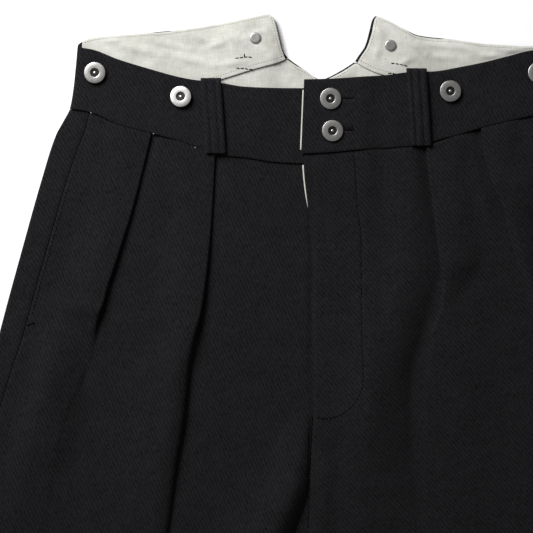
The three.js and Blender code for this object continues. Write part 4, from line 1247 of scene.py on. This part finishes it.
def modelButton(name, shankLength, shankRadius):  # head up, standing on the origin
    size = tackButton
    piece = editCylinder(name, size, size["flange"], shankLength + size["flange"] / 2)
    top = (shankLength + size["flange"]) * mm
    selectFaces(piece, lambda face: face.normal.z > 0.9)
    bpy.ops.mesh.inset(thickness=(size["radius"] - size["hole"]) * mm, depth=0.0)
    for inwards, up in headSteps:
        bpy.ops.mesh.inset(thickness=inwards * mm, depth=up * mm)
    selectFaces(piece, lambda face: face.normal.z < -0.9)
    bpy.ops.mesh.inset(thickness=(size["radius"] - shankRadius) * mm, depth=0.0)
    bpy.ops.mesh.extrude_region_move(TRANSFORM_OT_translate={"value": (0, 0, -shankLength * mm)})

    def onRim(edge):
        a, b = (corner.co for corner in edge.verts)
        reach = min(math.hypot(a.x, a.y), math.hypot(b.x, b.y))
        return abs(a.z - b.z) < 1e-6 and reach > size["rim"] * mm

    selectEdges(piece, onRim)
    bpy.ops.mesh.bevel(offset=size["rimBevel"] * mm, segments=3, affect="EDGES")

    def onHole(edge):
        a, b = (corner.co for corner in edge.verts)
        reach = math.hypot(a.x, a.y)
        return max(abs(a.z - top), abs(b.z - top)) < 1e-6 and abs(reach - size["hole"] * mm) < 0.1 * mm

    selectEdges(piece, onHole)
    bpy.ops.mesh.bevel(offset=size["holeBevel"] * mm, segments=2, affect="EDGES")
    bpy.ops.object.mode_set(mode="OBJECT")
    piece.data.materials.append(pewter)
    piece.data.materials.append(recess)
    # the sunk faces round the tack's post get the near-black finish: painted shade in the hole
    for face in piece.data.polygons:
        reach = math.hypot(face.center.x, face.center.y)
        sunk = shankLength * mm < face.center.z < top - size["shadeBelow"] * mm
        if sunk and size["shadeFrom"] * mm < reach < size["shadeTo"] * mm:
            face.material_index = 1
    bpy.ops.object.shade_smooth_by_angle(angle=math.radians(size["smooth"]))
    return piece


def modelCap():
    size = tackCap
    piece = editCylinder("cap", size, size["height"], size["height"] / 2)
    under = (size["height"] - 0.01) * mm
    selectEdges(piece, lambda edge: all(corner.co.z > under for corner in edge.verts))
    bpy.ops.mesh.bevel(offset=size["bevel"] * mm, segments=3, affect="EDGES")
    selectFaces(piece, lambda face: face.normal.z > 0.99)
    bpy.ops.mesh.inset(thickness=size["dipIn"] * mm, depth=-size["dip"] * mm)
    bpy.ops.object.mode_set(mode="OBJECT")
    piece.data.materials.append(pewter)
    bpy.ops.object.shade_smooth_by_angle(angle=math.radians(size["smooth"]))
    return piece


def placeCopy(model, name, node, x, y, z, tilt=(0, 0), upsideDown=False):
    copy = model.copy()
    copy.data = model.data.copy()
    copy.name = name
    bpy.context.scene.collection.objects.link(copy)
    deselectAll()
    copy.select_set(True)
    bpy.context.view_layer.objects.active = copy
    turn = math.pi if upsideDown else 0
    copy.rotation_euler = (turn + math.radians(tilt[0]), math.radians(tilt[1]), 0)
    copy.location = toFrame(x, y, z)
    bpy.ops.object.transform_apply(location=True, rotation=True, scale=True)
    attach(copy, "root")
    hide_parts(node)


def makeButtons():
    bandFace = layer["frontBand"] + cloth["band"] / 2 + cloth["seamGap"]
    shortShank = tackButton["height"] - tackButton["flange"]
    brace = modelButton("brace", shortShank, tackButton["shank"])
    fly = modelButton("fly", bandOverlap["lift"] + 0.3, tackButton["flyShank"])
    for name, place in braceButtons.items():
        placeCopy(brace, "button_brace_shown_" + name, "button_brace_" + name,
                  place["x"], place["y"], bandFace, place["tilt"])
    for name, place in flyButtons.items():
        placeCopy(fly, "button_fly_shown_" + name, "button_fly_" + name,
                  place["x"], place["y"], bandFace, flyTilt)
    cap = modelCap()
    liningFace = layer["bandLining"] + cloth["linen"] / 2 + buttonPress["lift"] + cloth["seamGap"]
    for name, place in backButtons.items():
        placeCopy(brace, "button_back_shown_" + name, "button_back_" + name,
                  place["x"], place["y"], tackButton["height"], upsideDown=True)
        placeCopy(cap, "tack_cap_shown_" + name, "tack_cap_" + name,
                  place["x"], place["y"], liningFace)
    for model in (brace, fly, cap):
        bpy.data.objects.remove(model, do_unlink=True)
    print("buttons modelled")


# Stitching

stitch = {"long": 2.8, "gap": 0.25, "wide": 1, "high": 0.15}
looseStitch = {"long": 1.6, "gap": 3, "wide": 0.35, "high": 0.25}
pocketStitch = {"long": 2.2, "gap": 0.9, "wide": 0.45, "high": 0.1, "in": 3.2}


def stitchMesh(points, faces, start, end, wide, high):  # one stitch, pointed at both ends
    a, b = Vector(start), Vector(end)
    ahead = (b - a).normalized()
    aside = Vector((-ahead.y, ahead.x, 0)).normalized() * wide / 2
    up = Vector((0, 0, high))
    first = len(points)
    points.append(tuple(a))
    for part in (0.22, 0.78):
        middle = a.lerp(b, part)
        points.extend(tuple(middle + offset) for offset in (aside, up, -aside, -up * 0.5))
    points.append(tuple(b))
    last = first + 9
    for i in range(4):
        j = (i + 1) % 4
        faces.append((first, first + 1 + j, first + 1 + i))
        faces.append((first + 1 + i, first + 1 + j, first + 5 + j, first + 5 + i))
        faces.append((first + 5 + i, first + 5 + j, last))


def sewPiece(name, paths, levelAt, material, size):
    points, faces = [], []
    pitch = size["long"] + size["gap"]
    for path in paths:
        travelled, due = 0, 0
        start = None
        for (x0, y0), (x1, y1) in zip(path, path[1:]):
            span = math.hypot(x1 - x0, y1 - y0)
            while due <= travelled + span and span > 0:
                part = (due - travelled) / span
                place = (mix(x0, x1, part), mix(y0, y1, part))
                if start is None:
                    start = place
                    due += size["long"]
                else:
                    a = (start[0], start[1], levelAt(*start))
                    b = (place[0], place[1], levelAt(*place))
                    stitchMesh(points, faces, a, b, size["wide"], size["high"])
                    start = None
                    due += pitch - size["long"]
            travelled += span
    piece = newPiece(name, points, faces, material)
    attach(piece, "root")


def frontLevelAt(side, x, y):
    out = side["sign"] * x
    folds = []
    for line in side["pleatLines"]:
        folds.append({"edge": line["edge"](y), "depth": line["depth"](y)})
    return frontBase(side, out, y, folds) + pressedUp(x, y) + cloth["wool"] / 2


liningStitch = {"long": 1.1, "gap": 1.0, "wide": 0.4, "high": 0.2, "in": 2.0}
tackStitch = {"long": 3.4, "gap": 0.1, "wide": 0.9, "high": 0.45}
liningTacks = {  # the ends of the seams that hold the back loops
    "right_upper": rows("x y", (-69.6, 17.4), (-64, 17.9), (-60.6, 18.6), (-54.2, 17.7)),
    "right_tick": rows("x y", (-62.2, 17.9), (-61.8, 19.6), (-62, 21.4)),
    "right_lower": rows("x y", (-69, 9.7), (-62, 9.2), (-56.6, 8.4), (-53, 8.7)),
    "left_upper": rows("x y", (55, 13.4), (59, 13), (62.6, 12.4), (65, 12), (70, 10.4)),
    "left_lower": rows("x y", (52.6, 5.4), (57, 5.2), (61.4, 4.4)),
}
pocketTack = rows("x y", (-236.4, -196.6), (-233, -195), (-229, -193.6))
looseThreads = rows(
    "x y dx dy", (-185.4, -25.8, 1.5, -1.2), (-135.6, -43.4, 1.8, 0.9), (-102, -53.6, 1.6, -1.4),
    (32, -56.4, 1.8, -0.3),
)


def makeStitching():
    def onFly(x, y):
        return frontLevelAt(leftSide, x, y) + 0.02

    def onLining(x, y):
        return liningLevel(x, y) + pressedUp(x, y) + cloth["linen"] / 2 + 0.02

    def onSeat(x, y):
        return seatLiningLevel(x, y) + pressedUp(x, y) + cloth["linen"] / 2 + 0.02

    sewPiece("stitches_fly", [flyStitchPath], onFly, blackThread, stitch)

    def onStrip(x, y):
        return layer["side"] + cloth["wool"] / 2

    for side in bothSides:
        edge = []
        for y in steps(-34, -192, 90):
            edge.append((side["sign"] * (sideSeam(side, y) - pocketStitch["in"]), y))
        sewPiece("stitches_pocket_" + side["name"], [edge], onStrip, blackThread,
                 pocketStitch)
    deep = liningStitch["in"]
    for side in bothSides:
        sign = side["sign"]
        topInset = along(liningTopInset[side["name"]], "out", "by")
        upper, lower, notch = [], [], []
        for out in steps(190, side["notchAt"](0.95) + 3, 120):
            upper.append((sign * out, side["backTop"](out) - topInset(out) - deep))
        for out in steps(side["notch"][0]["out"] + 2.5, 110, 70):
            if side["backSeam"](out) > -5:
                lower.append((sign * out, side["backSeam"](out) + deep + 0.4))
        for across in steps(0.06, 0.96, 40):
            out, y = liningPlace(side, 1, across)
            notch.append((sign * (out + deep), y))
        sewPiece("stitches_lining_" + side["name"], [upper, lower, notch], onLining, greyThread,
                 liningStitch)
        edgeInset = along(seatEdgeInset[side["name"]], "out", "by")
        edge = []
        for out in steps(1, side["notch"][0]["out"] - 2, 30):
            edge.append((sign * out, side["seatEdgeAt"](out) - cloth["bandSeamGap"] - edgeInset(out) - deep))
        sewPiece("stitches_seat_" + side["name"], [edge], onSeat, greyThread,
                 liningStitch)
    tacks = [smoothPath(path, 1.0) for path in liningTacks.values()]
    sewPiece("tacks_lining", tacks, onLining, blackThread, tackStitch)

    def onPocket(x, y):
        return layer["side"] + cloth["wool"] / 2 + 0.05

    sewPiece("tack_pocket", [smoothPath(pocketTack, 1.0)], onPocket, blackThread,
             tackStitch)
    bits = [[(bit["x"], bit["y"]), (bit["x"] + bit["dx"], bit["y"] + bit["dy"])] for bit in looseThreads]
    sewPiece("loose_threads", bits, lambda x, y: layer["frontBand"] + cloth["band"] / 2, paleThread,
             looseStitch)
    print("stitching made")


# Floor, light and camera

view = {"x": -44.4, "y": -149.2, "height": 1.6, "across": 0.4264, "sensor": 36.0, "face": 8.0}
light = {"world": 0.17, "key": 28.5, "keySize": 0.7, "keyX": -0.62, "keyY": 0.8, "keyZ": 0.92}


def makeFloor():
    deselectAll()
    bpy.ops.mesh.primitive_plane_add(size=8, location=(0, 0, 0))
    floor = bpy.context.object
    floor.name = "floor"
    material, nodes, links, shader = newMaterial("pale floor")
    place = nodes.new("ShaderNodeTexCoord").outputs["Object"]
    links.new(colourRamp(nodes, links, noiseOf(nodes, links, place, 4, 2), (0.9, 0.9, 0.9, 1),
                         (0.92, 0.92, 0.92, 1)), shader.inputs["Base Color"])
    setInputs(shader, {"Roughness": 0.9, "Specular IOR Level": 0.1})
    floor.data.materials.append(material)


def makeLight():
    world = bpy.data.worlds.new("studio")
    world.use_nodes = True
    world.node_tree.nodes["Background"].inputs["Color"].default_value = (1, 1, 1, 1)
    world.node_tree.nodes["Background"].inputs["Strength"].default_value = light["world"]
    bpy.context.scene.world = world
    lamp = bpy.data.lights.new("softbox", "AREA")
    lamp.size = light["keySize"]
    lamp.energy = light["key"]
    box = bpy.data.objects.new("softbox", lamp)
    target = Vector(toFrame(view["x"], view["y"], 0))
    box.location = target + Vector((light["keyX"], light["keyY"], light["keyZ"]))
    box.rotation_mode = "QUATERNION"
    box.rotation_quaternion = (target - box.location).to_track_quat("-Z", "Y")
    bpy.context.scene.collection.objects.link(box)


def makeCamera():
    camera = bpy.data.cameras.new("camera")
    camera.sensor_width = view["sensor"]
    camera.lens = view["sensor"] * view["height"] / view["across"]
    holder = bpy.data.objects.new("camera", camera)
    x, y, z = toFrame(view["x"], view["y"], view["face"])
    holder.location = (x, y, z + view["height"])
    bpy.context.scene.collection.objects.link(holder)
    bpy.context.scene.camera = holder
    bpy.context.scene.view_settings.view_transform = "Standard"


makeCamera()
makeLight()
makeFloor()
makeBacks()
print("backs made")
makeFronts()
print("fronts made")
makeBands()
print("waistband made")
makeLinings()
makeFly()
makeLoops()
makeButtons()
makeStitching()
